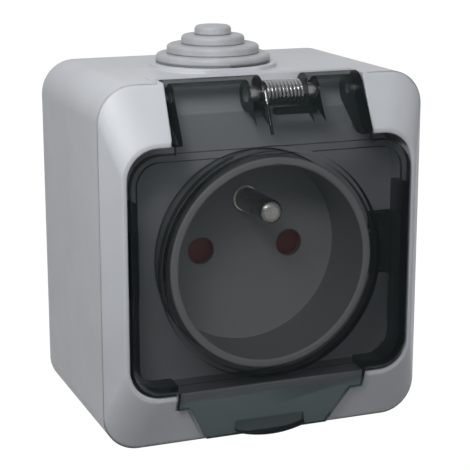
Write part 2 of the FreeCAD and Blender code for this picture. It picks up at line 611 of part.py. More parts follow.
def make_lid():
    body = new_body("lid_shell")
    half = f"{OPEN_W} - lid_side_gap"
    low = f"-({OPEN_H} - lid_side_gap)"
    high = f"{OPEN_H} - lid_top_gap"
    block = rounded(body, "lid_outline", half, low, high, "lid_radius", "lid_front - skirt_depth")
    pad(body, "lid_block", block, "skirt_depth")
    round_edges(body, "lid_edge", "lid_round", at_depth(number("lid_front")))
    room = rounded(body, "lid_room_outline", f"{half} - skirt_wall", f"{low} + skirt_wall",
                   f"{high} - skirt_wall", "lid_radius - skirt_wall", LID_IN)
    pocket(body, "lid_room", room, "skirt_depth")
    short = rectangle(body, "short_skirt_outline", FRONT, "-width", "width", "skirt_step", "height",
                      "lid_front - short_skirt")
    pocket(body, "short_skirt_cut", short, "skirt_depth")
    tab_gap = rectangle(body, "skirt_gap_outline", FRONT, "-tab_half", "tab_half", "-height / 2",
                        f"{low} + skirt_wall", LID_IN)
    pocket(body, "skirt_gap", tab_gap, "skirt_depth")
    rib = new_sketch(body, "rib_outline", FRONT, f"{LID_IN} - rib_length")
    for i, radius in enumerate(("rib_radius", "rib_radius + rib_wall")):
        rib.addGeometry(Part.Circle(FreeCAD.Vector(0, 0, 0), FreeCAD.Vector(0, 0, 1), number(radius)))
        pin_point(rib, i, 3, "0", "0")
        bind_radius(rib, i, radius)
    pad(body, "rib", rib, "rib_length + lid_wall / 2")
    pad(body, "hinge_plate", hinge_profile(body), "hinge_width", True)
    cheek_at = "hinge_width / 2 - cheek_wall"
    corners = [("-axis_depth", "axis_height"),
               ("-(axis_depth - 0.6 * cap_radius)", "axis_height - 0.8 * cap_radius"),
               (f"-({LID_IN} - 2 * lid_wall)", "fold_height - cheek_foot"),
               (f"-({LID_IN} + lid_wall / 2)", "fold_height - cheek_foot"),
               (f"-({LID_IN} + lid_wall / 2)", "fold_height"),
               ("-(axis_depth + 0.62 * cap_radius)", "axis_height + 0.36 * cap_radius")]
    web = pad(body, "cheek_web", outline(body, "cheek_profile", SIDE, corners, cheek_at), "cheek_wall")
    boss = pad(body, "cheek_boss", circles(body, "cheek_boss_outline", SIDE, AXIS, "cap_radius", cheek_at),
               "cheek_wall")
    mirror_feature(body, "cheek_left", [web, boss])
    relief = circles(body, "relief_outline", SIDE, AXIS, "cap_radius - cap_wall")
    pocket(body, "spring_room", relief, "hinge_width - 2 * cheek_wall", True)
    for i, start in enumerate(KNUCKLES):
        ring = circles(body, f"knuckle_outline_{i}", SIDE, AXIS, "cap_radius - cap_wall / 2", start)
        pad(body, f"knuckle_{i}", ring, "knuckle_wall")
        corners = [("-axis_depth", "axis_height"),
                   ("-axis_depth - lid_wall / 2", "axis_height - knuckle_web"),
                   (f"-({LID_IN} - lid_wall / 4)", "fold_height + lid_wall"),
                   ("-(axis_depth + 0.72 * cap_radius)", "axis_height + 0.42 * cap_radius")]
        web = outline(body, f"knuckle_web_profile_{i}", SIDE, corners, start)
        pad(body, f"knuckle_web_{i}", web, "knuckle_wall")
    arbor = circles(body, "arbor_bore_outline", SIDE, AXIS, "arbor_radius", f"{KNUCKLES[0]} - cut_over")
    pocket(body, "arbor_bore", arbor, f"{ARBOR} + 2 * cut_over", backwards=True)
    window = rectangle(body, "window_outline", TOP, f"{KNUCKLES[0]} + knuckle_wall", KNUCKLES[1],
                       "-(axis_depth + window_lip)", "-(axis_depth - cap_radius - cut_over)",
                       "axis_height + cap_radius + cut_over")
    pocket(body, "coil_window", window, "cap_radius + cut_over")
    bores = circles(body, "cheek_bore_outline", SIDE, AXIS, "pin_radius")
    pocket(body, "cheek_bores", bores, "hinge_width + 2 * cut_over", True)
    lid = doc.addObject("Part::MultiFuse", "lid")
    lid.Label = "lid"
    lid.Shapes = [body, make_tab(), make_grip()]
    return lid


def hinge_profile(body):
    """Section of the lid's hinge part: a plate, tangent to the edge rolled round the hinge axis."""
    sketch = new_sketch(body, "hinge_profile", SIDE, "0")
    vector = FreeCAD.Vector
    front, inside = -number("lid_front"), -number(LID_IN)
    fold, foot = number("fold_height"), number("fold_height - fold_foot")
    bend = vector(inside, number("fold_height - lid_wall / 4"), 0)
    middle = vector(-number("axis_depth"), number("axis_height"), 0)
    cap, wall = number("cap_radius"), number("lid_wall")
    # The roll starts near 150 degrees and ends at 30, half a radius above the axis
    first, last = 5 * math.pi / 6, math.pi / 6
    ahead = vector(math.cos(first), math.sin(first), 0)
    tangent = middle + ahead * cap
    inner = middle + ahead * (cap - wall)
    rear = middle + vector(math.cos(last), math.sin(last), 0) * cap
    sketch.addGeometry(Part.LineSegment(vector(front, foot, 0), vector(front, fold, 0)))
    sketch.addGeometry(Part.LineSegment(vector(front, fold, 0), tangent))
    sketch.addGeometry(Part.ArcOfCircle(Part.Circle(middle, vector(0, 0, 1), cap), last, first))
    sketch.addGeometry(Part.LineSegment(rear, inner))
    sketch.addGeometry(Part.LineSegment(inner, bend))
    sketch.addGeometry(Part.LineSegment(bend, vector(inside, foot, 0)))
    sketch.addGeometry(Part.LineSegment(vector(inside, foot, 0), vector(front, foot, 0)))
    joints = [(0, 2, 1, 1), (3, 2, 4, 1), (4, 2, 5, 1), (5, 2, 6, 1), (6, 2, 0, 1), (2, 1, 3, 1)]
    for before, end, line, start in joints:
        sketch.addConstraint(Sketcher.Constraint("Coincident", before, end, line, start))
    sketch.addConstraint(Sketcher.Constraint("Tangent", 1, 2, 2, 2))
    sketch.addConstraint(Sketcher.Constraint("Parallel", 1, 4))
    pin_point(sketch, 0, 1, "-lid_front", "fold_height - fold_foot")
    pin_point(sketch, 0, 2, "-lid_front", "fold_height")
    pin_point(sketch, 2, 3, "-axis_depth", "axis_height")
    bind_radius(sketch, 2, "cap_radius")
    pin_point(sketch, 6, 1, f"-{LID_IN}", "fold_height - fold_foot")
    pin_point(sketch, 5, 1, f"-{LID_IN}", "fold_height - lid_wall / 4")
    rises = [("DistanceY", 3, rear.y, "axis_height + cap_radius / 2"),
             ("DistanceX", 4, inner.x, "-(axis_depth + roll_share * (cap_radius - lid_wall))")]
    for kind, line, now, text in rises:
        index = sketch.addConstraint(Sketcher.Constraint(kind, -1, 1, line, 1, now))
        sketch.setExpression(f"Constraints[{index}]", bound(text))
    return sketch


def make_tab():
    """Finger tab below the lid, which follows the cover's lower bevel."""
    side = new_body("tab_depth")
    top = f"-({OPEN_H} - lid_side_gap - skirt_wall)"
    corners = [("-lid_front", top), ("-lid_front", f"-({OPEN_H} - lid_side_gap)"),
               ("-(seam_depth + tab_stand)", "-tab_end"), ("-(seam_depth + seat_gap + tab_gap)", "-tab_end"),
               ("-(rim_depth - tab_sink + tab_gap)", "-rim_height / 2"),
               ("-(rim_depth - tab_sink + tab_gap)", top)]
    pad(side, "tab_slab", outline(side, "tab_profile", SIDE, corners), "3 * tab_half", True)
    return common("tab", side, tab_outline("tab_width", "0"))


def make_grip():
    """Curved grip at the foot of the tab: it turns outwards and ends in an arc."""
    side = new_body("grip_depth")
    corners = [("-(seam_depth + tab_stand + grip_wall)", "-(tab_end - grip_start)"),
               ("-(grip_front - grip_step)", "-(tab_end - grip_start / 2)"),
               ("-grip_front", "-(grip_low - grip_step)"), ("-grip_front", "-grip_low - cut_over"),
               ("-(grip_front - grip_wall)", "-grip_low - cut_over"),
               ("-(seam_depth + grip_wall)", "-(grip_low - grip_step)"),
               ("-(seam_depth + grip_throat)", "-(tab_end - grip_start + grip_bend)")]
    pad(side, "grip_slab", outline(side, "grip_profile", SIDE, corners), "2 * grip_half", True)
    disc = new_body("grip_disc")
    arc = circles(disc, "grip_arc", FRONT, [("0", "grip_arc - grip_low")], "grip_arc", "cup_floor")
    pad(disc, "grip_arc_prism", arc, "lid_front")
    return common("grip", side, disc)


def rod(name, radius, length, x, y, z, axis):
    """Round bar from a point along an axis of the frame."""
    bar = doc.addObject("Part::Cylinder", name)
    bar.Label = name
    bar.setExpression("Radius", bound(radius))
    bar.setExpression("Height", bound(length))
    turns = {"X": FreeCAD.Rotation(FreeCAD.Vector(0, 1, 0), 90), "Z": FreeCAD.Rotation(),
             "Y": FreeCAD.Rotation(FreeCAD.Vector(1, 0, 0), -90)}
    bar.Placement.Rotation = turns[axis]
    place(bar, x, y, z)
    return bar


def fuse(name, pieces):
    joined = doc.addObject("Part::MultiFuse", name)
    joined.Label = name
    joined.Shapes = pieces
    return joined


def make_hinge_hardware():
    length = "cheek_wall + hinge_gap + tray_wall - pin_inset"
    starts = {"hinge_pin_right": "hinge_width / 2 - cheek_wall", "hinge_pin_left": f"pin_inset - {BAY_WALL}"}
    for name, start in starts.items():
        rod(name, "pin_radius", length, start, "-axis_depth", "axis_height", "X")
    rod("spring_arbor", "arbor_radius", ARBOR, KNUCKLES[0], "-axis_depth", "axis_height", "X")


def make_lid_spring():
    """Torsion spring: a close coil on the arbor, one leg on the lid and one on the cover."""
    helix = doc.addObject("Part::Helix", "coil_path")
    helix.setExpression("Pitch", bound("spring_pitch"))
    helix.setExpression("Height", bound("spring_turns * spring_pitch"))
    helix.setExpression("Radius", bound("spring_radius"))
    helix.LocalCoord = "Left-handed"
    wire = doc.addObject("Part::Circle", "coil_wire")
    wire.setExpression("Radius", bound("wire_radius"))
    wire.Placement.Rotation = FreeCAD.Rotation(FreeCAD.Vector(1, 0, 0), 90)
    wire.setExpression("Placement.Base.x", bound("spring_radius"))
    coil = doc.addObject("Part::Sweep", "coil")
    coil.Sections = [wire]
    coil.Spine = (helix, ["Edge1"])
    coil.Solid = True
    coil.Frenet = True
    # The coil is wound along its own Z, which is turned to the frame's X
    start = math.radians(number("spring_phase"))
    end = start - 2 * math.pi * number("spring_turns")
    turn_z = FreeCAD.Rotation(FreeCAD.Vector(0, 0, 1), number("spring_phase"))
    coil.Placement.Rotation = FreeCAD.Rotation(FreeCAD.Vector(0, 1, 0), 90).multiply(turn_z)
    place(coil, "spring_start + wire_radius", "-axis_depth", "axis_height")
    x0 = number("spring_start + wire_radius")
    x1 = x0 + number("spring_turns * spring_pitch")
    radius = number("spring_radius")
    axis = FreeCAD.Vector(0, -number("axis_depth"), number("axis_height"))
    first = axis + FreeCAD.Vector(x0, radius * math.sin(start), -radius * math.cos(start))
    last = axis + FreeCAD.Vector(x1, radius * math.sin(end), -radius * math.cos(end))
    lid_way = FreeCAD.Vector(number("leg_shift"), math.cos(start), math.sin(start))
    cover_way = FreeCAD.Vector(0, -math.cos(end), -math.sin(end))
    lid_leg = bar("lid_leg", "wire_radius", first, first + lid_way * number("lid_leg_length"))
    cover_leg = bar("cover_leg", "wire_radius", last, last + cover_way * number("cover_leg_length"))
    return fuse("lid_spring", [coil, lid_leg, cover_leg])


def make_cup():
    """Round cup with the contact holes, and the flange that holds it behind the cover."""
    body = new_body("socket_cup")
    flange_back = f"{FLANGE_FRONT} - flange_wall"
    corners = [("0", f"-{BLOCK_FRONT}"), ("cup_radius", f"-{BLOCK_FRONT}"),
               ("cup_radius", f"-({flange_back})"), ("flange_radius", f"-({flange_back})"),
               ("flange_radius", f"-{FLANGE_FRONT}"), ("cup_radius", f"-{FLANGE_FRONT}"),
               ("cup_radius", "-cup_front"), ("cup_bore", "-cup_front"), ("cup_bore", "-cup_floor"),
               ("0", "-cup_floor")]
    turn(body, "cup_turned", outline(body, "cup_profile", TOP, corners))
    holes = circles(body, "contact_hole_outline", FRONT, POLES, "contact_hole", "cup_floor + cut_over")
    pocket(body, "contact_holes", holes, "cup_floor_wall + 2 * cut_over")
    earth = circles(body, "earth_hole_outline", FRONT, [("0", "earth_height")],
                    "shoulder_radius + seat_gap", "cup_floor + cut_over")
    pocket(body, "earth_hole", earth, "cup_floor_wall + 2 * cut_over")
    round_edges(body, "cup_rounding", "rim_round", at_depth(number("cup_front")))
    return body


def make_cup_seal():
    body = new_body("cup_seal")
    corners = [("cup_radius + cup_gap", f"-{FLANGE_FRONT}"), ("flange_radius", f"-{FLANGE_FRONT}"),
               ("flange_radius", f"-({FLANGE_FRONT} + seal_height)"),
               ("cup_radius + cup_gap", f"-({FLANGE_FRONT} + seal_height)")]
    turn(body, "seal_turned", outline(body, "seal_profile", TOP, corners))
    return body


def make_shutter():
    """Red slider behind the contact holes, with a window that frees both at the end of its travel."""
    body = new_body("shutter")
    back = f"{BLOCK_FRONT} - shutter_slack - shutter_wall"
    plate = rectangle(body, "shutter_outline", FRONT, "-shutter_half", "shutter_half",
                      "-shutter_cover", "shutter_cover", back)
    pad(body, "shutter_plate", plate, "shutter_wall")
    stem = rectangle(body, "shutter_stem_outline", FRONT, "-shutter_half / 5", "shutter_half / 5",
                     "-shutter_cover - stem_length", "-shutter_cover + cut_over", back)
    pad(body, "shutter_stem", stem, "shutter_wall")
    return body


def make_block():
    """Insulating block behind the cup: shutter channel, contact chambers, terminal pockets, lugs."""
    body = new_body("mechanism_body")
    block = rectangle(body, "block_outline", FRONT, "-block_half", "block_half", "-block_bottom",
                      "block_top", "block_back + lug_wall")
    pad(body, "block", block, f"{BLOCK_FRONT} - block_back - lug_wall")
    lugs = rectangle(body, "lug_outline", FRONT, "-lug_half", "lug_half", "-lug_reach", "lug_reach",
                     "block_back")
    pad(body, "lugs", lugs, "lug_wall")
    base = rectangle(body, "base_outline", FRONT, "-block_half", "block_half", "-block_bottom",
                     "block_top", "block_back")
    pad(body, "base", base, "lug_wall")
    slack = "shutter_slack"
    channel = rectangle(body, "channel_outline", FRONT, f"-shutter_half - {slack}",
                        f"shutter_half + {slack}", f"-shutter_cover - shutter_travel - {slack}",
                        f"shutter_cover + {slack}", BLOCK_FRONT)
    pocket(body, "shutter_channel", channel, CHANNEL)
    spring = rectangle(body, "spring_slot_outline", FRONT, "-shutter_half / 5 - room_gap",
                       "shutter_half / 5 + room_gap", "-block_bottom + slot_floor", "-shutter_cover",
                       BLOCK_FRONT)
    pocket(body, "spring_slot", spring, CHANNEL)
    side = "contact_pitch / 2"
    chamber = rectangle(body, "chamber_outline", FRONT, f"{side} - clip_width / 2 - room_gap",
                        f"{side} + clip_width / 2 + room_gap",
                        "-clip_gap / 2 - clip_wall - clip_flare - room_gap",
                        "clip_gap / 2 + clip_wall + clip_flare + room_gap", BLOCK_FRONT)
    cut = pocket(body, "chamber", chamber, f"{BLOCK_FRONT} - clip_back + clip_wall")
    terminal = rectangle(body, "terminal_outline", FRONT, f"{side} - terminal_half",
                         f"{side} + terminal_half", "-block_bottom - cut_over",
                         "-clip_gap / 2", "terminal_depth")
    well = pocket(body, "terminal_room", terminal, "terminal_depth + cut_over - block_back")
    mirror_feature(body, "rooms_left", [cut, well])
    earth_room = rectangle(body, "earth_room_outline", FRONT, f"{side} - terminal_half",
                           f"{side} + terminal_half", "earth_height - terminal_half",
                           "block_top + cut_over", "terminal_depth")
    pocket(body, "earth_room", earth_room, "terminal_depth + cut_over - block_back")
    earth = circles(body, "earth_seat_outline", FRONT, [("0", "earth_height")],
                    "earth_collar + seat_gap", BLOCK_FRONT)
    pocket(body, "earth_seat", earth, "collar_wall")
    through = circles(body, "earth_through_outline", FRONT, [("0", "earth_height")],
                      "earth_radius + seat_gap", BLOCK_FRONT)
    pocket(body, "earth_through", through, BLOCK_FRONT)
    holes = circles(body, "lug_hole_outline", FRONT, POSTS, "screw_radius + 2 * seat_gap",
                    "block_back + lug_wall + cut_over")
    pocket(body, "lug_holes", holes, "lug_wall + 2 * cut_over")
    return body


def bar(name, radius, start, end):
    """Straight round bar between two points given in millimetres."""
    piece = doc.addObject("Part::Cylinder", name)
    piece.setExpression("Radius", bound(radius))
    way = end - start
    piece.Height = way.Length
    piece.Placement = FreeCAD.Placement(start, FreeCAD.Rotation(FreeCAD.Vector(0, 0, 1), way))
    return piece


def make_contact():
    """Brass clip with two leaves and a flared mouth, and the terminal below it."""
    body = new_body("live_contact")
    side = "contact_pitch / 2"
    left, right = f"{side} - clip_width / 2", f"{side} + clip_width / 2"
    inner = "clip_gap / 2"
    outer = "(clip_gap / 2 + clip_wall)"
    throat = "(clip_front - flare_length)"
    flare = "clip_flare"
    corners = [("-clip_back", inner), (f"-{throat}", inner), ("-clip_front", f"{inner} + {flare}"),
               ("-clip_front", f"{outer} + {flare}"), (f"-{throat}", outer),
               ("-(clip_back - clip_wall)", outer), ("-(clip_back - clip_wall)", "-terminal_drop"),
               ("-clip_back", "-terminal_drop"), ("-clip_back", f"-{outer}"), (f"-{throat}", f"-{outer}"),
               ("-clip_front", f"-{outer} - {flare}"), ("-clip_front", f"-{inner} - {flare}"),
               (f"-{throat}", f"-{inner}"), ("-clip_back", f"-{inner}")]
    pad(body, "clip", outline(body, "clip_profile", SIDE, corners, left), "clip_width")
    terminal = rectangle(body, "terminal_block_outline", FRONT, f"{side} - terminal_half",
                         f"{side} + terminal_half", "-terminal_drop - terminal_half",
                         "-terminal_drop + terminal_half", "block_back + terminal_sink")
    pad(body, "terminal_block", terminal, "terminal_depth - block_back - terminal_sink")
    wire = circles(body, "wire_hole_outline", TOP, [(side, "-wire_depth")], "wire_bore",
                   "-terminal_drop + terminal_half + cut_over")
    pocket(body, "wire_hole", wire, "2 * terminal_half + 2 * cut_over")
    bore = circles(body, "terminal_bore_outline", FRONT, [(side, "-terminal_drop")], "terminal_screw",
                   "wire_depth")
    pocket(body, "terminal_bore", bore, "wire_depth - block_back")
    return body


def make_earth_strap():
    """Brass strap behind the block, from the earth pin to its terminal."""
    body = new_body("earth_strap")
    side = "contact_pitch / 2"
    plate = rectangle(body, "strap_outline", FRONT, "-earth_collar", f"{side} + terminal_half",
                      "earth_height - strap_half", "earth_height + strap_half", "block_back - clip_wall")
    pad(body, "strap", plate, "clip_wall")
    block = rectangle(body, "earth_block_outline", FRONT, f"{side} - terminal_half",
                      f"{side} + terminal_half", "earth_height - terminal_half",
                      "earth_height + terminal_half", "block_back")
    pad(body, "earth_block", block, "terminal_depth - block_back")
    wire = circles(body, "earth_wire_outline", TOP, [(side, "-wire_depth")], "wire_bore",
                   "earth_height + terminal_half + cut_over")
    pocket(body, "earth_wire_hole", wire, "2 * terminal_half + 2 * cut_over")
    bore = circles(body, "earth_bore_outline", FRONT, [(side, "earth_height")], "terminal_screw",
                   "wire_depth")
    pocket(body, "earth_bore", bore, "wire_depth - block_back + clip_wall + cut_over")
    hole = circles(body, "strap_hole_outline", FRONT, [("0", "earth_height")], "earth_radius",
                   "block_back + cut_over")
    pocket(body, "strap_hole", hole, "clip_wall + 2 * cut_over")
    return body


def make_earth_pin():
    """Turned pin with a rounded tip and a collar that the cup's floor holds down."""
    body = new_body("earth_pin")
    tip = "(cup_floor + earth_length)"
    seat = f"({BLOCK_FRONT} - collar_wall)"
    corners = [("0", "-(block_back - clip_wall)"), ("earth_radius", "-(block_back - clip_wall)"),
               ("earth_radius", f"-{seat}"), ("earth_collar", f"-{seat}"),
               ("earth_collar", f"-{BLOCK_FRONT}"), ("shoulder_radius", f"-{BLOCK_FRONT}"),
               ("shoulder_radius", "-(cup_floor + shoulder_rise)"),
               ("earth_radius", "-(cup_floor + shoulder_rise)"),
               ("earth_radius", f"-{tip}"), ("0", f"-{tip}")]
    turn(body, "pin_turned", outline(body, "pin_profile", TOP, corners))
    round_edges(body, "pin_tip", "pin_round", at_depth(number(tip)))
    place(body, z="earth_height")
    return body


def make_screw(name, x, z, seat, shank_radius, shank, head, backwards=False):
    """Screw along Y with a cylinder head on a seat depth, and a slot across the head."""
    body = new_body(name)
    start = f"{seat} - ({shank})" if not backwards else seat
    pad(body, f"{name}_shank", circles(body, f"{name}_shank_outline", FRONT, [("0", "0")], shank_radius,
                                       start), shank)
    head_start = seat if not backwards else f"{seat} - head_height"
    pad(body, f"{name}_head", circles(body, f"{name}_head_outline", FRONT, [("0", "0")], head,
                                      head_start), "head_height")
    face = f"{seat} + head_height" if not backwards else f"{seat} - head_height"
    slot = rectangle(body, f"{name}_slot_outline", FRONT, f"-{head} - cut_over", f"{head} + cut_over",
                     "-slot_width / 2", "slot_width / 2", face)
    pocket(body, f"{name}_slot", slot, "slot_depth", backwards=backwards)
    place(body, x, "0", z)
    return body


def make_screws():
    side = "contact_pitch / 2"
    terminal = "block_back + terminal_sink - terminal_lift"
    bite = "wire_depth - wire_bore - block_back - terminal_sink + terminal_lift"
    make_screw("terminal_screw_live", side, "-terminal_drop", terminal, "terminal_screw", bite,
               "terminal_head", True)
    make_screw("terminal_screw_neutral", f"-{side}", "-terminal_drop", terminal, "terminal_screw", bite,
               "terminal_head", True)
    make_screw("terminal_screw_earth", side, "earth_height", "block_back - clip_wall", "terminal_screw",
               "wire_depth - wire_bore - block_back + clip_wall", "terminal_head", True)
    for name, z in (("mechanism_screw_top", "post_height"), ("mechanism_screw_bottom", "-post_height")):
        make_screw(name, "0", z, "block_back + lug_wall", "screw_radius",
                   "lug_wall + post_bore - screw_short", "head_radius")
    for name, x in (("cover_screw_right", "boss_side"), ("cover_screw_left", "-boss_side")):
        make_screw(name, x, "0", "well_depth + cup_liner", "screw_radius",
                   "cup_liner + well_wall + screw_bite - screw_short", "head_radius")


def make_seal():
    """Black rubber in a screw well: a pad under the screw head and a tongue up the outer wall."""
    body = new_body("screw_seal_right")
    base = rectangle(body, "seal_pad_outline", FRONT, "well_inner", OPEN_W, "-well_half", "well_half",
                     "well_depth")
    pad(body, "seal_pad", base, "cup_liner")
    tongue = rectangle(body, "tongue_outline", FRONT, f"{OPEN_W} - cup_liner", OPEN_W,
                       "-well_half", "well_half", "well_depth")
    pad(body, "tongue", tongue, "tongue_depth - well_depth")
    lean = rectangle(body, "seal_side_outline", FRONT, "well_inner", OPEN_W, "-well_half",
                     "-well_half + cup_liner", "well_depth")
    pad(body, "seal_side", lean, "floor_depth - well_depth")
    top = rectangle(body, "seal_top_outline", FRONT, "well_inner", OPEN_W, "well_half - cup_liner",
                    "well_half", "well_depth")
    pad(body, "seal_top", top, "floor_depth - well_depth")
    hole = circles(body, "seal_hole_outline", FRONT, [("boss_side", "0")], "screw_radius",
                   "well_depth + cup_liner + cut_over")
    pocket(body, "seal_hole", hole, "cup_liner + 2 * cut_over")
    return body


def make_grommet():
    """Stepped rubber cable entry, hollow, with a groove that holds it in the top wall."""
    body = new_body("top_grommet")
    foot = "(height / 2 - ledge_wall)"
    top = "(height / 2 + collar_height)"
    rise = [f"{top} + {i} * step_height" for i in range(5)]
    steps = ["step_one", "step_two", "step_three", "step_four"]
    corners = [("entry_radius - grommet_wall", f"{foot} - grommet_wall"),
               ("entry_radius + grommet_wall", f"{foot} - grommet_wall"),
               ("entry_radius + grommet_wall", foot), ("entry_radius", foot), ("entry_radius", top)]
    for i, step in enumerate(steps):
        corners += [(step, rise[i]), (step, rise[i + 1])]
    corners += [("0", rise[4]), ("0", f"{rise[3]} - grommet_wall"),
                ("step_three - grommet_wall", f"{rise[3]} - grommet_wall"),
                ("step_three - grommet_wall", f"{rise[2]} - grommet_wall"),
                ("step_two - grommet_wall", f"{rise[2]} - grommet_wall"),
                ("step_two - grommet_wall", f"{rise[1]} - grommet_wall"),
                ("entry_radius - grommet_wall", f"{rise[1]} - grommet_wall")]
    turn(body, "grommet_turned", outline(body, "grommet_profile", FRONT, corners))
    tops = [(number(step), number(rise[i + 1])) for i, step in enumerate(steps)]

    def on_step(edge):
        box = edge.BoundBox
        return any(max(abs(box.ZMin - z), abs(box.ZMax - z), abs(box.XMax - r)) < CLOSE for r, z in tops)

    round_edges(body, "step_rounding", "step_round", on_step)
    place(body, "-entry_side", "-entry_depth")
    return body


def make_shutter_spring():
    """Small compression spring below the shutter."""
    helix = doc.addObject("Part::Helix", "return_path")
    helix.setExpression("Pitch", bound("return_length / return_turns"))
    helix.setExpression("Height", bound("return_length - 2 * return_wire"))
    helix.setExpression("Radius", bound("return_radius"))
    wire = doc.addObject("Part::Circle", "return_circle")
    wire.setExpression("Radius", bound("return_wire"))
    wire.Placement.Rotation = FreeCAD.Rotation(FreeCAD.Vector(1, 0, 0), 90)
    wire.setExpression("Placement.Base.x", bound("return_radius"))
    coil = doc.addObject("Part::Sweep", "shutter_spring")
    coil.Label = "shutter_spring"
    coil.Sections = [wire]
    coil.Spine = (helix, ["Edge1"])
    coil.Solid = True
    coil.Frenet = True
    place(coil, "0", f"-({BLOCK_FRONT} - {CHANNEL} / 2)", "-block_bottom + slot_floor + return_wire")
    return coil


make_back_box()
make_front_cover()
make_gasket()
make_lid()
make_hinge_hardware()
make_lid_spring()
make_cup()
make_cup_seal()
make_shutter()
make_shutter_spring()
make_block()
live = make_contact()
mirrored_x("neutral_contact", live)
make_earth_strap()
make_earth_pin()
make_screws()
right_seal = make_seal()
mirrored_x("screw_seal_left", right_seal)
make_grommet()
doc.recompute()

NODES = [
    "back_box", "front_cover", "cover_gasket", "lid", "lid_spring", "spring_arbor", "hinge_pin_left",
    "hinge_pin_right", "socket_cup", "cup_seal", "shutter", "shutter_spring", "mechanism_body",
    "live_contact", "neutral_contact", "earth_pin", "earth_strap", "terminal_screw_live",
    "terminal_screw_neutral", "terminal_screw_earth", "mechanism_screw_top", "mechanism_screw_bottom",
    "cover_screw_left", "cover_screw_right", "screw_seal_left", "screw_seal_right", "top_grommet",
]

os.makedirs("parts", exist_ok=True)
for obj in doc.Objects:
    if {"Invalid", "Error"} & set(obj.State):
        raise RuntimeError(f"{obj.Label} failed: {obj.State}")
for node in NODES:
    piece = doc.getObjectsByLabel(node)[0]
    shape = piece.Shape
    if shape.isNull() or not shape.isValid() or shape.Volume <= 0:
        raise RuntimeError(f"{node} has no valid shape")
    if len(shape.Solids) != 1:
        raise RuntimeError(f"{node} is not one solid")
    shape.exportStep(f"parts/{node}.step")
    print(f"{node}: {shape.Volume:.1f} mm3, {len(shape.Faces)} faces")
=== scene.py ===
"""Outdoor weatherproof socket with a smoked, self-closing lid, dressed on its CAD frame."""

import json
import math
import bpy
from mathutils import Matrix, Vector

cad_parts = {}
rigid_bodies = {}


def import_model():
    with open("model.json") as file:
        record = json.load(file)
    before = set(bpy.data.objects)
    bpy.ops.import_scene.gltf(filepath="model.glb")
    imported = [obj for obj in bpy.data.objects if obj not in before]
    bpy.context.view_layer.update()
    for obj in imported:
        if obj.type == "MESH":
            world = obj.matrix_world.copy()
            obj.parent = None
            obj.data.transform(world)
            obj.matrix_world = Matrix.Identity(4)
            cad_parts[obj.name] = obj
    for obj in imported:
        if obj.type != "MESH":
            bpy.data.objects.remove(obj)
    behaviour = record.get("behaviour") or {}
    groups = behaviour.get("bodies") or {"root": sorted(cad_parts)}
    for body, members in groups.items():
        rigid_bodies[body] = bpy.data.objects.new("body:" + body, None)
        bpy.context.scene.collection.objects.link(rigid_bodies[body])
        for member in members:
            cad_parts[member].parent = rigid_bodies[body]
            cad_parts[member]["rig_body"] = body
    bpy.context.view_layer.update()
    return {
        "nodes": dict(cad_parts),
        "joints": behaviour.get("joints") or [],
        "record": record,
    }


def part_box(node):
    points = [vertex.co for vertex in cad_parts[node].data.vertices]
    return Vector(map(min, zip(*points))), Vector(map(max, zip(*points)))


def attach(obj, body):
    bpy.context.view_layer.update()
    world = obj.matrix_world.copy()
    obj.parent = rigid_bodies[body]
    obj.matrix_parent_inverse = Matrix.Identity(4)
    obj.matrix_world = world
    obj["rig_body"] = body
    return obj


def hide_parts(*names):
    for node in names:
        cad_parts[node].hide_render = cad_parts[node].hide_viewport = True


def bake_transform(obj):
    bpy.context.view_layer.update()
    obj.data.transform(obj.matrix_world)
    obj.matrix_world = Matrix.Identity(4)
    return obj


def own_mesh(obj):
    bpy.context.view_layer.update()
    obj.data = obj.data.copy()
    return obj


bl_info = {
    "name": "Outdoor weatherproof socket",
    "version": (1, 0, 0),
    "blender": (4, 5, 0),
    "location": "View3D > Sidebar > Socket",
    "description": "Finishes a surface-mounted socket with a sprung lid, one group of pieces at a time",
    "category": "Object",
}

import bmesh
import bpy
from bpy.props import FloatProperty, FloatVectorProperty, PointerProperty
from mathutils import Matrix, Vector

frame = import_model()
JOINTS = {joint["name"]: joint for joint in frame["joints"]}

# All lengths are in metres. The hinge axis is shared by the lid's pins, the arbor and the coil.
PIVOT = Vector(JOINTS["lid_hinge"]["pos_m"])

# Half width of the cover's square opening, and the width of the band where its walls, and their painted
# shade, begin
COVER_ROOM = 0.0285
COVER_BAND = 0.0006

# Height of one step of the grommet, and how high the painted shade at the foot of a step reaches
STEP_HEIGHT = 0.0018
STEP_SHADE = 0.0003
FOOT_SHADE = 0.0007
STEPS = 4

# Corners of the shelf below the coil, and the height under which the wire is painted near black
SHELF_LOW = Vector((0.0012, -0.0432, 0.0286))
SHELF_HIGH = Vector((0.0097, -0.0413, 0.0298))
SPRING_DARK_LINE = 0.0304
SPRING_DARK_FADE = 0.0008

# Zones of the lid that are spared the painted shade, and stay clear, although they turn away from the
# front. Each pair says where a zone
# # starts and where it is whole: the roll's height, how far left of the middle the upper rim lies and
# its
# # height, and the tab's depth below the middle. At TAB_FOOT the tab's zone fades out again.
ROLL_ZONE = (0.0300, 0.0315)
RIM_ACROSS = (0.0180, 0.0220)
RIM_HEIGHT = (0.0240, 0.0260)
TAB_TOP = (0.0275, 0.0295)
TAB_FOOT = (0.0328, 0.0336)

# Painted light: how many times paler the lid's tint is where it slopes downwards
SLOPE_LIGHT = 10.0

# Radius at the foot of a screw thread, as a share of the thread's own
THREAD_CORE = 0.86

# Grains to the metre in the light plastics, in the red one and in the block's
LIGHT_GRAIN = 3800.0
RED_GRAIN = 5200.0
BLOCK_GRAIN = 4200.0

# Painted shade: share of their colour's brightness that the walls of the cover's room and of the cup
# keep
COVER_PAINTED_SHADE = 0.35
CUP_PAINTED_SHADE = 0.45

# Legs of the lid's coil: how far the first leans to the right, and how long each one is
LEG_LEAN = 0.03
LID_LEG = 0.0086
COVER_LEG = 0.00285

# Edges that bend more than this are rounded and shaded as edges
SHARP_ANGLE = math.radians(34.0)

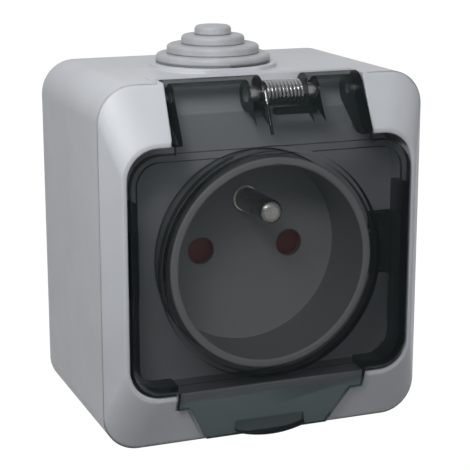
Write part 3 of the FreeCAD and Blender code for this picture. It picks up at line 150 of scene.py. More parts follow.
# Corners nearer than this are merged, and faces that differ by less than this become one
SAME_CORNER = 2e-6
FLAT_ANGLE = math.radians(0.6)

# How strongly large faces keep their own shading beside small ones
NORMAL_WEIGHT = 80

# Colours of the pieces that no setting changes
GROMMET_GREY = (0.385, 0.395, 0.42)
SEAL_BLACK = (0.006, 0.006, 0.007)
SEAL_GREY = (0.03, 0.03, 0.032)
BLOCK_GREY = (0.05, 0.05, 0.054)
CONTACT_BRASS = (0.72, 0.52, 0.22)
PIN_NICKEL = (0.66, 0.65, 0.62)
PIN_STEEL = (0.55, 0.55, 0.54)
WIRE_STEEL = (0.62, 0.63, 0.64)
SCREW_STEEL = (0.58, 0.58, 0.57)
FLOOR_GREY = (0.07, 0.07, 0.072, 1.0)

BRASS = ("live_contact", "neutral_contact", "earth_strap")
TERMINAL_SCREWS = ("terminal_screw_live", "terminal_screw_neutral", "terminal_screw_earth")
CASE_SCREWS = ("mechanism_screw_top", "mechanism_screw_bottom", "cover_screw_left", "cover_screw_right")

# The photograph's camera, from lines measured in it: its place, its aim, and its lens in pixels
CAMERA_PLACE = Vector((-0.10670, -0.29709, 0.07401))
CAMERA_TARGET = Vector((-0.00008, -0.025, 0.00115))
FOCAL_PIXELS = 1474.02
PICTURE_PIXELS = 470.0
SENSOR_WIDTH = 36.0

# Each lamp's place and width, and what all of them point at
LAMPS = {
    "key": ((-0.24, -0.22, 0.20), 0.12),
    "corner": ((-0.085, -0.150, 0.115), 0.04),
    "fill": ((-0.08, -0.42, 0.34), 0.25),
}
LAMP_TARGET = Vector((0.0, -0.02, 0.0))

# The floor: radius of its bend, half its width, how far back its wall stands, how high that is, and the
# number of facets in the bend
FLOOR_BEND = 0.5
FLOOR_REACH = 3.0
FLOOR_BACK = 1.6
FLOOR_RISE = 2.4
FLOOR_FACETS = 12

# Heights of a direction, from -1 straight down to 1 straight up, between which the sky fades
SKY_FADE = (-0.30, 1.0)


class Value:
    """A shader socket that takes part in Python sums."""

    def __init__(self, paint, socket):
        self.paint = paint
        self.socket = socket

    def _sum(self, operation, *values):
        return self.paint.node("ShaderNodeMath", {"operation": operation}, *values)

    def __add__(self, other):
        return self._sum("ADD", self, other)

    __radd__ = __add__

    def __sub__(self, other):
        return self._sum("SUBTRACT", self, other)

    def __rsub__(self, other):
        return self._sum("SUBTRACT", other, self)

    def __mul__(self, other):
        return self._sum("MULTIPLY", self, other)

    __rmul__ = __mul__

    def larger(self, other):
        """The larger of two values."""
        return self._sum("MAXIMUM", self, other)

    def squared(self):
        """The value times itself."""
        return self._sum("MULTIPLY", self, self)

    def between(self, low, high):
        """0 below the low value, 1 above the high one, a soft step in between."""
        settings = {"interpolation_type": "SMOOTHSTEP"}
        return self.paint.node("ShaderNodeMapRange", settings, self, low, high, 0.0, 1.0)


class Paint:
    """One material and the nodes that make its finish."""

    def __init__(self, name):
        self.material = bpy.data.materials.new(name)
        self.material.use_nodes = True
        self.tree = self.material.node_tree
        self.tree.nodes.clear()
        self.place = self.node("ShaderNodeTexCoord", {}, pick="Object")

    def node(self, kind, settings, *values, pick=0, **named):
        """Add a node: its settings first, then values or links on its sockets, in order or by name."""
        added = self.tree.nodes.new(kind)
        for key, setting in settings.items():
            setattr(added, key, setting)
        open_sockets = [socket for socket in added.inputs if socket.enabled]
        for socket, value in zip(open_sockets, values):
            self._feed(socket, value)
        for name, value in named.items():
            self._feed(added.inputs[name.replace("_", " ")], value)
        if isinstance(pick, str):
            return Value(self, added.outputs[pick])
        return Value(self, [socket for socket in added.outputs if socket.enabled][pick])

    def _feed(self, socket, value):
        """Link a value to a socket, or set it there."""
        if isinstance(value, Value):
            self.tree.links.new(value.socket, socket)
        elif value is not None:
            socket.default_value = value

    def noise(self, scale, detail=2.0, roughness=0.5, at=None):
        """Cloudy value round 0.5, with so many clouds to the metre."""
        at = at or self.place
        return self.node("ShaderNodeTexNoise", {}, at, scale, detail, roughness, pick="Fac")

    def mix(self, factor, low, high):
        """Colour between two colours."""
        mixed = self.tree.nodes.new("ShaderNodeMix")
        mixed.data_type = "RGBA"
        self._feed(mixed.inputs["Factor"], factor)
        for name, value in (("A", low), ("B", high)):
            socket = next(s for s in mixed.inputs if s.name == name and s.type == "RGBA")
            self._feed(socket, value)
        return Value(self, next(s for s in mixed.outputs if s.type == "RGBA"))

    def axis(self, name):
        """Place of the surface along one of the piece's axes."""
        return self.node("ShaderNodeSeparateXYZ", {}, self.place, pick=name)

    def facing(self, name):
        """How far the surface faces along one of the piece's axes, from -1 to 1."""
        normal = self.node("ShaderNodeTexCoord", {}, pick="Normal")
        return self.node("ShaderNodeSeparateXYZ", {}, normal, pick=name)

    def bump(self, height, depth, rounding=0.0):
        """Normal for a height field, so many metres deep."""
        normal = None
        if rounding:
            normal = self.node("ShaderNodeBevel", {"samples": 6}, rounding)
        return self.node("ShaderNodeBump", {}, Height=height, Distance=depth, Normal=normal)

    def finish(self, **values):
        """Close the material with a Principled surface."""
        surface = self.node("ShaderNodeBsdfPrincipled", {}, **values)
        output = self.tree.nodes.new("ShaderNodeOutputMaterial")
        self.tree.links.new(surface.socket, output.inputs["Surface"])
        return self.material


def rgba(colour, level=1.0):
    """Opaque colour, brightened by a factor."""
    return (colour[0] * level, colour[1] * level, colour[2] * level, 1.0)


def moulded_plastic(name, colour, grain, gloss=0.38, walls=1.0, room=None):
    """Fine-grained moulded plastic, a little cloudy, with so many grains to the metre.

    Walls that turn away from the front get a painted shade: their colour keeps only a share of its
    brightness. With a room, given by half its width, only the walls inside it get that painted shade.
    """
    paint = Paint(name)
    cloud = paint.noise(90.0, detail=3.0).between(0.3, 0.7)
    tone = paint.mix(cloud, rgba(colour, 0.97), rgba(colour, 1.03))
    # Painted shade: walls that turn away from the front are darkened in the base colour
    if walls < 1.0:
        plain = paint.facing("Y").squared().between(0.1, 0.7)
        if room:
            start, whole = (room - COVER_BAND) ** 2, room ** 2
            across = paint.axis("X").squared().between(start, whole)
            along = paint.axis("Z").squared().between(start, whole)
            plain = plain.larger(across).larger(along)
        tone = paint.mix(plain, rgba(colour, walls), tone)
    fleck = paint.noise(grain, roughness=0.6)
    smear = paint.noise(260.0, detail=4.0)
    return paint.finish(
        Base_Color=tone,
        Roughness=gloss + 0.10 * smear,
        Normal=paint.bump(fleck, depth=0.000012, rounding=0.0005),
        Specular_IOR_Level=0.5,
    )


def smoked_plastic(name, colour, turned_shade_colour, clearness):
    """Clear plastic with a smoky tint, with a painted shade on walls that turn away from the front and
    painted light where it slopes downwards.
    """
    paint = Paint(name)
    height = paint.axis("Z")
    depth = height * -1.0
    # Zones that are spared the painted shade
    rolled = paint.facing("Z").between(0.1, 0.5) * height.between(*ROLL_ZONE)
    rim = (paint.axis("X") * -1.0).between(*RIM_ACROSS) * height.between(*RIM_HEIGHT)
    tab = depth.between(*TAB_TOP) * (1.0 - depth.between(*TAB_FOOT))
    clear = rolled.larger(rim * 0.7).larger(tab * 0.85)
    # Painted shade: walls that turn away from the front take the dark shade colour and grow more opaque
    turned = (1.0 - paint.facing("Y").squared()).between(0.60, 0.95) * (1.0 - clear)
    # Painted light: faces that slope downwards get a paler tint
    painted_slope_light = (paint.facing("Z") * -1.0).between(0.12, 0.28)
    body = paint.mix(painted_slope_light, rgba(colour), rgba(colour, SLOPE_LIGHT))
    edge_on = paint.node("ShaderNodeFresnel", {}, 1.45)
    wave = paint.noise(55.0)
    haze = paint.noise(700.0, detail=3.0)
    return paint.finish(
        Base_Color=paint.mix(turned, body, rgba(turned_shade_colour)),
        Roughness=0.05 + 0.05 * haze,
        Normal=paint.bump(wave, depth=0.00004),
        Alpha=(1.0 - clearness) + edge_on * 0.35 + turned * 0.50,
        Specular_IOR_Level=0.12,
        IOR=1.5,
    )


def rubber(name, colour, gloss=0.62, folds=()):
    """Matt rubber with a dusty bloom, and a painted shade line at the foot of each of its folds.

    A fold is the height of its foot and how far the painted shade reaches up from there.
    """
    paint = Paint(name)
    bloom = paint.noise(340.0, detail=4.0).between(0.35, 0.75)
    lifted = [min(1.0, part * 1.08 + 0.012) for part in colour]
    tone = paint.mix(bloom, rgba(colour), rgba(lifted))
    upright = 1.0 - paint.facing("Z").between(0.2, 0.6)
    # Painted shade under each fold
    for foot, reach in folds:
        above = paint.axis("Z").between(foot + reach * 0.5, foot + reach)
        started = paint.axis("Z").between(foot - 0.0002, foot - 0.0001)
        tone = paint.mix(upright * (1.0 - above) * started, tone, rgba(colour, 0.40))
    fleck = paint.noise(5200.0)
    return paint.finish(
        Base_Color=tone,
        Roughness=gloss + 0.12 * bloom,
        Normal=paint.bump(fleck, depth=0.00002, rounding=0.0002),
    )


def turned_metal(name, colour, along, gloss=0.16):
    """Metal with fine turning lines across one axis."""
    paint = Paint(name)
    rings = paint.node("ShaderNodeMath", {"operation": "SINE"}, paint.axis(along) * 42000.0)
    stain = paint.noise(480.0, detail=4.0).between(0.35, 0.8)
    tone = paint.mix(stain, rgba(colour), rgba(colour, 0.84))
    return paint.finish(
        Base_Color=tone,
        Metallic=1.0,
        Roughness=gloss + 0.14 * stain,
        Normal=paint.bump(rings, depth=0.0000025, rounding=0.0001),
    )


def stamped_metal(name, colour, gloss=0.3, dark_below=None):
    """Sheet metal with rolling marks and dull patches, painted near black below a height if one is
    given.
    """
    paint = Paint(name)
    stretched = paint.node("ShaderNodeMapping", {}, paint.place, Scale=(1.0, 1.0, 14.0))
    rolled = paint.noise(900.0, detail=3.0, at=stretched)
    patch = paint.noise(210.0, detail=4.0).between(0.4, 0.75)
    tone = paint.mix(patch, rgba(colour), rgba(colour, 0.8))
    # Below the given height the colour is painted near black
    if dark_below:
        above_dark = paint.axis("Z").between(dark_below, dark_below + SPRING_DARK_FADE)
        tone = paint.mix(above_dark, rgba(colour, 0.06), tone)
    return paint.finish(
        Base_Color=tone,
        Metallic=1.0,
        Roughness=gloss + 0.2 * patch,
        Normal=paint.bump(rolled, depth=0.000008, rounding=0.0001),
    )


def smooth(mesh):
    """Shade a mesh smoothly up to its sharp edges."""
    mesh.shade_smooth()
    mesh.set_sharp_from_angle(angle=SHARP_ANGLE)


def add_piece(name, mesh, body, slot, material, *nodes):
    """Put a finished mesh in the frame, on its body if it has one, in place of CAD nodes."""
    piece = bpy.data.objects.new(name, mesh)
    bpy.context.scene.collection.objects.link(piece)
    mesh.materials.clear()
    mesh.materials.append(material)
    if body:
        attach(piece, body)
    if nodes:
        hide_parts(*nodes)
    return piece


def body_holding(node):
    """Body of the frame that a CAD node belongs to."""
    return frame["nodes"][node]["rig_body"]


def slot_of(node):
    """Material slot that the record gives a CAD node."""
    return next(s["material_slot"] for s in frame["record"]["subparts"] if s["node"] == node)


def evaluated(piece):
    """Plain mesh of an object with its modifiers worked in."""
    graph = bpy.context.evaluated_depsgraph_get()
    mesh = bpy.data.meshes.new_from_object(piece.evaluated_get(graph))
    bpy.data.objects.remove(piece)
    return mesh


def modified(mesh, kind, **settings):
    """Plain mesh that a modifier makes of another."""
    rough = bpy.data.objects.new("rough", mesh)
    bpy.context.scene.collection.objects.link(rough)
    modifier = rough.modifiers.new("change", kind)
    for name, value in settings.items():
        setattr(modifier, name, value)
    return evaluated(rough)


def eased_copy(node, width=0.0):
    """Copy of a CAD node with merged corners, and with rounded edges if they get a width."""
    mesh = frame["nodes"][node].data.copy()
    shape = bmesh.new()
    shape.from_mesh(mesh)
    bmesh.ops.remove_doubles(shape, verts=shape.verts, dist=SAME_CORNER)
    bmesh.ops.dissolve_degenerate(shape, edges=shape.edges, dist=SAME_CORNER)
    bmesh.ops.dissolve_limit(shape, angle_limit=FLAT_ANGLE, verts=shape.verts, edges=shape.edges)
    shape.to_mesh(mesh)
    shape.free()
    if width:
        mesh = modified(mesh, "BEVEL", width=width, segments=2, limit_method="ANGLE",
                        angle_limit=SHARP_ANGLE, use_clamp_overlap=True, miter_outer="MITER_ARC")
        smooth(mesh)
        return modified(mesh, "WEIGHTED_NORMAL", keep_sharp=True, weight=NORMAL_WEIGHT)
    smooth(mesh)
    return mesh


def block(name, low, high):
    """Plain box between two corners."""
    mesh = bpy.data.meshes.new(name)
    shape = bmesh.new()
    bmesh.ops.create_cube(shape, size=1.0)
    size = high - low
    bmesh.ops.scale(shape, vec=size, verts=shape.verts)
    bmesh.ops.translate(shape, vec=(low + high) / 2, verts=shape.verts)
    shape.to_mesh(mesh)
    shape.free()
    return mesh


def dress(node, material, width=0.0):
    """Replace a CAD node by its own copy, with rounded edges if they get a width."""
    mesh = eased_copy(node, width)
    return add_piece(f"{node}_finish", mesh, body_holding(node), slot_of(node), material, node)


class Rule:
    """A geometry node tree under construction, with named inputs."""

    def __init__(self, name):
        self.tree = bpy.data.node_groups.new(name, "GeometryNodeTree")
        self.tree.interface.new_socket("Geometry", in_out="OUTPUT", socket_type="NodeSocketGeometry")
        self.entry = self.tree.nodes.new("NodeGroupInput")

    def size(self, name, kind, value):
        """Named input of the tree."""
        item = self.tree.interface.new_socket(name, in_out="INPUT", socket_type=f"NodeSocket{kind}")
        if kind != "Material":
            item.default_value = value
        return next(socket for socket in self.entry.outputs if socket.name == name)

    def add(self, kind, settings=None, **inputs):
        """Add a node: its settings first, then values or links on its sockets by name."""
        node = self.tree.nodes.new(kind)
        for key, setting in (settings or {}).items():
            setattr(node, key, setting)
        for name, value in inputs.items():
            socket = next(s for s in node.inputs if s.enabled and s.name == name.replace("_", " "))
            for one in value if isinstance(value, list) else [value]:
                if isinstance(one, bpy.types.NodeSocket):
                    self.tree.links.new(one, socket)
                else:
                    socket.default_value = one
        return next(socket for socket in node.outputs if socket.enabled)

    def sum(self, operation, *values):
        """Socket that holds what a mathematical operation makes of sizes."""
        node = self.tree.nodes.new("ShaderNodeMath")
        node.operation = operation
        for socket, value in zip(node.inputs, values):
            if isinstance(value, bpy.types.NodeSocket):
                self.tree.links.new(value, socket)
            else:
                socket.default_value = value
        return node.outputs[0]

    def close(self, geometry, material):
        """Realise the instances, set the material and join the tree's output."""
        solid = self.add("GeometryNodeRealizeInstances", Geometry=geometry)
        painted = self.add("GeometryNodeSetMaterial", Geometry=solid, Material=material)
        output = self.tree.nodes.new("NodeGroupOutput")
        self.tree.links.new(painted, output.inputs[0])

    def grow(self, name, sizes=None):
        """Plain mesh that the tree makes, with some of its named inputs set."""
        host = bpy.data.objects.new(name, bpy.data.meshes.new(name))
        bpy.context.scene.collection.objects.link(host)
        modifier = host.modifiers.new("rule", "NODES")
        modifier.node_group = self.tree
        for item in self.tree.interface.items_tree:
            if sizes and item.name in sizes:
                modifier[item.identifier] = sizes[item.name]
        mesh = evaluated(host)
        smooth(mesh)
        return mesh


def wire_rule(name, origin, turns, pitch, radius, wire, start_angle, legs, material):
    """Wire coil along X with straight legs, all from named sizes."""
    rule = Rule(name)
    turns_in = rule.size("Turns", "Float", turns)
    length_in = rule.size("Coil length", "Float", turns * pitch)
    radius_in = rule.size("Coil radius", "Float", radius)
    wire_in = rule.size("Wire radius", "Float", wire)
    coil = rule.add("GeometryNodeCurveSpiral", Resolution=28, Rotations=turns_in,
                    Start_Radius=radius_in, End_Radius=radius_in, Height=length_in, Reverse=True)
    lay = Matrix.Rotation(math.radians(90.0), 3, "Y") @ Matrix.Rotation(start_angle, 3, "Z")
    laid = rule.add("GeometryNodeTransform", Geometry=coil, Rotation=tuple(lay.to_euler()),
                    Translation=tuple(origin))
    wires = [laid]
    for i, (start, middle, end) in enumerate(legs):
        from_in = rule.size(f"Leg {i + 1} start", "Vector", tuple(start))
        by_in = rule.size(f"Leg {i + 1} bend", "Vector", tuple(middle))
        to_in = rule.size(f"Leg {i + 1} end", "Vector", tuple(end))
        wires.append(rule.add("GeometryNodeCurveQuadraticBezier", Resolution=12, Start=from_in,
                              Middle=by_in, End=to_in))
    paths = rule.add("GeometryNodeJoinGeometry", Geometry=wires)
    ring = rule.add("GeometryNodeCurvePrimitiveCircle", Resolution=12, Radius=wire_in)
    tube = rule.add("GeometryNodeCurveToMesh", Curve=paths, Profile_Curve=ring, Fill_Caps=True)
    rule.close(tube, material)
    return rule


def screw_rule(material):
    """Slotted screw with a cylinder head: its tip on +Z, its head below the start of the thread."""
    rule = Rule("slotted screw")
    shank = rule.size("Shank radius", "Float", 0.0015)
    length = rule.size("Length", "Float", 0.009)
    pitch = rule.size("Pitch", "Float", 0.0005)
    head = rule.size("Head radius", "Float", 0.00195)
    tall = rule.size("Head height", "Float", 0.0019)
    width = rule.size("Slot width", "Float", 0.0007)
    deep = rule.size("Slot depth", "Float", 0.0009)
    place = rule.size("Place", "Vector", (0.0, 0.0, 0.0))
    turn = rule.size("Turn", "Vector", (0.0, 0.0, 0.0))
    count = rule.sum("ROUND", rule.sum("DIVIDE", length, pitch))
    step = rule.sum("DIVIDE", length, count)
    core = rule.sum("MULTIPLY", shank, THREAD_CORE)
    thread = rule.add("GeometryNodeMeshCone", {"fill_type": "NGON"}, Vertices=20, Radius_Top=core,
                      Radius_Bottom=shank, Depth=step)
    spacing = rule.add("ShaderNodeCombineXYZ", Z=step)
    points = rule.add("GeometryNodeMeshLine", Count=count, Offset=spacing)
    threads = rule.add("GeometryNodeInstanceOnPoints", Points=points, Instance=thread)
    cap = rule.add("GeometryNodeMeshCylinder", {"fill_type": "NGON"}, Vertices=32, Radius=head,
                   Depth=tall)
    half_down = rule.add("ShaderNodeCombineXYZ", Z=rule.sum("MULTIPLY", tall, -0.5))
    cap = rule.add("GeometryNodeTransform", Geometry=cap, Translation=half_down)
    size = rule.add("ShaderNodeCombineXYZ", X=rule.sum("MULTIPLY", head, 2.4), Y=width,
                    Z=rule.sum("MULTIPLY", deep, 2.0))
    down = rule.add("ShaderNodeCombineXYZ", Z=rule.sum("MULTIPLY", tall, -1.0))
    cutter = rule.add("GeometryNodeTransform", Geometry=rule.add("GeometryNodeMeshCube", Size=size),
                      Translation=down)
    slotted = rule.add("GeometryNodeMeshBoolean", {"operation": "DIFFERENCE", "solver": "EXACT"},
                       Mesh_1=cap, Mesh_2=cutter)
    whole = rule.add("GeometryNodeJoinGeometry", Geometry=[threads, slotted])
    placed = rule.add("GeometryNodeTransform", Geometry=whole, Translation=place, Rotation=turn)
    rule.close(placed, material)
    return rule


class SocketFinish(bpy.types.PropertyGroup):
    """Colours of the pieces"""

    shell: FloatVectorProperty(
        name="Shell", description="Colour of the box and the cover", subtype="COLOR",
        default=(0.52, 0.54, 0.575), min=0.0, max=1.0)
    cup: FloatVectorProperty(
        name="Cup", description="Colour of the round cup", subtype="COLOR",
        default=(0.60, 0.62, 0.63), min=0.0, max=1.0)
    tint: FloatVectorProperty(
        name="Tint", description="Colour of the smoked lid", subtype="COLOR",
        default=(0.024, 0.034, 0.035), min=0.0, max=1.0)
    # Painted shade: this colour darkens every wall of the lid that turns away from the front
    edge: FloatVectorProperty(
        name="Edge", description="Colour of the lid's cut edges", subtype="COLOR",
        default=(0.008, 0.012, 0.013), min=0.0, max=1.0)
    clearness: FloatProperty(
        name="Clearness", description="Share of the light that one face of the lid lets through",
        default=0.735, min=0.0, max=1.0, subtype="FACTOR")
    shutter: FloatVectorProperty(
        name="Shutter", description="Colour of the safety shutter", subtype="COLOR",
        default=(0.26, 0.004, 0.003), min=0.0, max=1.0)


class SocketSpring(bpy.types.PropertyGroup):
    """Sizes of the lid's coil"""

    turns: FloatProperty(
        name="Turns", description="Turns of the lid spring", default=10.3991, min=1.0)
    pitch: FloatProperty(
        name="Pitch", description="Distance between two turns", default=0.00077,
        unit="LENGTH", precision=5)
    radius: FloatProperty(
        name="Radius", description="Mean radius of the coil", default=0.00225,
        unit="LENGTH", precision=5)
    wire: FloatProperty(
        name="Wire radius", description="Radius of the wire", default=0.00034,
        unit="LENGTH", precision=5)
    start: FloatProperty(
        name="Start", description="Place of the coil's left end", default=0.00004, unit="LENGTH",
        precision=5)
    phase: FloatProperty(
        name="Phase", description="Angle at which the lid's leg leaves the coil",
        default=math.radians(248.0), subtype="ANGLE", unit="ROTATION")


class SocketScrews(bpy.types.PropertyGroup):
    """Sizes of all seven screws"""

    pitch: FloatProperty(
        name="Pitch", description="Pitch of the screw threads", default=0.0005,
        unit="LENGTH", precision=5)
    slot: FloatProperty(
        name="Slot", description="Width of the slot in a head", default=0.0007,
        unit="LENGTH", precision=5)
    tall: FloatProperty(
        name="Head height", description="Height of a screw head", default=0.0019,
        unit="LENGTH", precision=5)
    case_shank: FloatProperty(
        name="Case shank", description="Thread radius of the case screws", default=0.0015,
        unit="LENGTH", precision=5)
    terminal_shank: FloatProperty(
        name="Terminal shank", description="Thread radius of the terminal screws", default=0.0016,
        unit="LENGTH", precision=5)


class SocketRounding(bpy.types.PropertyGroup):
    """How far edges are rounded"""

    shell: FloatProperty(
        name="Shell edges", description="Rounding of the shell's edges", default=0.00022,
        unit="LENGTH", precision=5)
    lid: FloatProperty(
        name="Lid edges", description="Rounding of the lid's edges", default=0.00015,
        unit="LENGTH", precision=5)
    small: FloatProperty(
        name="Small edges", description="Rounding of the small pieces' edges", default=0.0002,
        unit="LENGTH", precision=5)
    sheet: FloatProperty(
        name="Sheet edges", description="Rounding of the sheet metal's edges", default=0.00008,
        unit="LENGTH", precision=5)


class SocketStage(bpy.types.PropertyGroup):
    """Lamps, sky and floor"""

    key: FloatProperty(
        name="Key", description="Power of the main lamp", default=0.20, unit="POWER")
    fill: FloatProperty(
        name="Fill", description="Power of the lamp in front", default=0.25, unit="POWER")
    corner: FloatProperty(
        name="Corner", description="Power of the lamp near the upper left", default=0.130,
        unit="POWER")
    sky: FloatProperty(name="Sky", description="Light from above", default=0.87, min=0.0)
    ground: FloatProperty(name="Ground", description="Light from below", default=0.0, min=0.0)
    drop: FloatProperty(
        name="Drop", description="Height of the floor", default=-0.30, unit="LENGTH")


SETTINGS = {
    "socket_finish": SocketFinish,
    "socket_spring": SocketSpring,
    "socket_screws": SocketScrews,
    "socket_rounding": SocketRounding,
    "socket_stage": SocketStage,
}


class SOCKET_OT_shell(bpy.types.Operator):
    """Finish the back box and the bevelled cover"""

    bl_idname = "socket.shell"
    bl_label = "Shell"

    def execute(self, context):
        finish = context.scene.socket_finish
        edge = context.scene.socket_rounding.shell
        dress("back_box", moulded_plastic("box plastic", finish.shell, LIGHT_GRAIN), edge)
        # The walls inside the cover's opening get a painted shade
        cover = moulded_plastic("cover plastic", finish.shell, LIGHT_GRAIN, walls=COVER_PAINTED_SHADE,
                                room=COVER_ROOM)
        dress("front_cover", cover, edge)
        return {"FINISHED"}


class SOCKET_OT_grommet(bpy.types.Operator):
    """Finish the stepped cable entry on top"""

    bl_idname = "socket.grommet"
    bl_label = "Grommet"

    def execute(self, context):
        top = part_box("top_grommet")[1].z
        # Painted shade at the foot of each step of the grommet
        folds = [(top - STEP_HEIGHT * step, STEP_SHADE) for step in range(1, STEPS)]
        folds.append((top - STEP_HEIGHT * STEPS, FOOT_SHADE))
        soft = rubber("grommet rubber", GROMMET_GREY, gloss=0.40, folds=folds)
        mesh = eased_copy("top_grommet")
        add_piece("stepped_grommet", mesh, "housing", "grommet_rubber", soft, "top_grommet")
        return {"FINISHED"}


class SOCKET_OT_lid(bpy.types.Operator):
    """Finish the smoked lid, its pins and the coil's arbor, and make the shelf below the coil"""

    bl_idname = "socket.lid"
    bl_label = "Lid"

    def execute(self, context):
        finish = context.scene.socket_finish
        rounding = context.scene.socket_rounding
        smoked = smoked_plastic("smoked plastic", finish.tint, finish.edge, finish.clearness)
        dress("lid", smoked, rounding.lid)
        # The shelf takes the lid's painted shade colour for its body
        shaded = smoked_plastic("shelf plastic", finish.edge, finish.edge, finish.clearness * 0.5)
        shelf = block("spring_shelf", SHELF_LOW, SHELF_HIGH)
        add_piece("spring_shelf", shelf, "lid", "smoked_plastic", shaded)
        steel = turned_metal("pin steel", PIN_STEEL, "X")
        for node in ("hinge_pin_left", "hinge_pin_right", "spring_arbor"):
            dress(node, steel, rounding.small)
        return {"FINISHED"}


class SOCKET_OT_springs(bpy.types.Operator):
    """Wind the lid's torsion spring and finish the shutter's return spring"""

    bl_idname = "socket.springs"
    bl_label = "Springs"

    def execute(self, context):
        spring = context.scene.socket_spring
        steel = stamped_metal("spring wire", WIRE_STEEL, gloss=0.18, dark_below=SPRING_DARK_LINE)
        start = spring.phase
        end = start - math.tau * spring.turns
        origin = Vector((spring.start, PIVOT.y, PIVOT.z))
        far = origin + Vector((spring.turns * spring.pitch, 0.0, 0.0))
        leave = origin + Vector((0.0, math.sin(start), -math.cos(start))) * spring.radius
        lid_way = Vector((LEG_LEAN, math.cos(start), math.sin(start)))
        arrive = far + Vector((0.0, math.sin(end), -math.cos(end))) * spring.radius
        cover_way = Vector((0.0, -math.cos(end), -math.sin(end)))
        legs = [
            (leave, leave + lid_way * LID_LEG / 2, leave + lid_way * LID_LEG),
            (arrive, arrive + cover_way * COVER_LEG / 2, arrive + cover_way * COVER_LEG),
        ]
        rule = wire_rule("torsion spring", origin, spring.turns, spring.pitch, spring.radius,
                         spring.wire, start, legs, steel)
        coil = add_piece("torsion_spring", rule.grow("torsion_spring"), None, "spring_steel", steel,
                         "lid_spring")
        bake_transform(coil)
        bright = stamped_metal("return wire", WIRE_STEEL, gloss=0.18)
        back = add_piece("return_spring", eased_copy("shutter_spring"), "housing", "spring_steel",
                         bright, "shutter_spring")
        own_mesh(back)
        return {"FINISHED"}


class SOCKET_OT_cup(bpy.types.Operator):
    """Finish the round cup and the shutter behind its floor"""

    bl_idname = "socket.cup"
    bl_label = "Cup"

    def execute(self, context):
        finish = context.scene.socket_finish
        edge = context.scene.socket_rounding.small
        # The cup's walls get a painted shade
        plastic = moulded_plastic("cup plastic", finish.cup, LIGHT_GRAIN, gloss=0.42, walls=CUP_PAINTED_SHADE)
        mesh = eased_copy("socket_cup", edge)
        add_piece("round_cup", mesh, "housing", "cup_plastic", plastic, "socket_cup")
        red = moulded_plastic("shutter plastic", finish.shutter, RED_GRAIN, gloss=0.35)
        dress("shutter", red, edge)
        return {"FINISHED"}


class SOCKET_OT_contacts(bpy.types.Operator):
    """Finish the insulating block, the brass and the earth pin"""

    bl_idname = "socket.contacts"
    bl_label = "Contacts"

    def execute(self, context):
        rounding = context.scene.socket_rounding
        insulation = moulded_plastic("block plastic", BLOCK_GREY, BLOCK_GRAIN, gloss=0.45)
        dress("mechanism_body", insulation, rounding.small)
        brass = stamped_metal("contact brass", CONTACT_BRASS, gloss=0.26)
        for node in BRASS:
            dress(node, brass, rounding.sheet)
        nickel = turned_metal("nickel", PIN_NICKEL, "Y", gloss=0.2)
        mesh = eased_copy("earth_pin")
        add_piece("plated_earth_pin", mesh, "housing", "nickel", nickel, "earth_pin")
        return {"FINISHED"}


class SOCKET_OT_screws(bpy.types.Operator):
    """Thread and slot the terminal and case screws"""

    bl_idname = "socket.screws"
    bl_label = "Screws"

    def execute(self, context):
        screws = context.scene.socket_screws
        steel = turned_metal("screw steel", SCREW_STEEL, "Y", gloss=0.24)
        rule = screw_rule(steel)
        for node in TERMINAL_SCREWS + CASE_SCREWS:
            low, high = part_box(node)
            middle = (low + high) / 2
            ahead = node in CASE_SCREWS
            seat = low.y + screws.tall if ahead else high.y - screws.tall
            tip = high.y if ahead else low.y
            mesh = rule.grow(node, {
                "Shank radius": screws.case_shank if ahead else screws.terminal_shank,
                "Length": abs(tip - seat),
                "Pitch": screws.pitch,
                "Head radius": (high.x - low.x) / 2,
                "Head height": screws.tall,
                "Slot width": screws.slot,
                "Place": (middle.x, seat, middle.z),
                "Turn": (math.radians(-90.0 if ahead else 90.0), 0.0, 0.0),
            })
            add_piece(f"threaded_{node}", mesh, "housing", "screw_steel", steel, node)
        return {"FINISHED"}


class SOCKET_OT_seals(bpy.types.Operator):
    """Finish the gasket, the cup's seal and the black screw seals"""

    bl_idname = "socket.seals"
    bl_label = "Seals"

    def execute(self, context):
        edge = context.scene.socket_rounding.small
        black = rubber("black rubber", SEAL_BLACK, gloss=0.5)
        for node in ("screw_seal_left", "screw_seal_right"):
            dress(node, black, edge)
        dark = rubber("seal rubber", SEAL_GREY)
        for node in ("cover_gasket", "cup_seal"):
            dress(node, dark)
        return {"FINISHED"}


class SOCKET_OT_stage(bpy.types.Operator):
    """Set up the floor, the light and the camera"""

    bl_idname = "socket.stage"
    bl_label = "Stage"

    def execute(self, context):
        stage = context.scene.socket_stage
        make_floor(stage.drop)
        make_sky(stage.sky, stage.ground)
        for name, (place, width) in LAMPS.items():
            make_lamp(name, place, width, getattr(stage, name))
        make_camera()
        context.scene.view_settings.view_transform = "Standard"
        return {"FINISHED"}


OPERATORS = (
    SOCKET_OT_shell,
    SOCKET_OT_grommet,
    SOCKET_OT_lid,
    SOCKET_OT_springs,
    SOCKET_OT_cup,
    SOCKET_OT_contacts,
    SOCKET_OT_screws,
    SOCKET_OT_seals,
    SOCKET_OT_stage,
)


class SOCKET_PT_panel(bpy.types.Panel):
    """Lists the socket's groups of pieces"""

    bl_idname = "SOCKET_PT_panel"
    bl_label = "Weatherproof socket"
    bl_space_type = "VIEW_3D"
    bl_region_type = "UI"
    bl_category = "Socket"

    def draw(self, context):
        for kind in OPERATORS:
            self.layout.operator(kind.bl_idname)


def background_share(tree):
    """1 for rays from the camera and for those that were mirrored or passed through, else 0."""
    path = tree.nodes.new("ShaderNodeLightPath")
    share = path.outputs["Is Camera Ray"]
    for name in ("Is Glossy Ray", "Is Transmission Ray"):
        larger = tree.nodes.new("ShaderNodeMath")
        larger.operation = "MAXIMUM"
        tree.links.new(share, larger.inputs[0])
        tree.links.new(path.outputs[name], larger.inputs[1])
        share = larger.outputs[0]
    return share


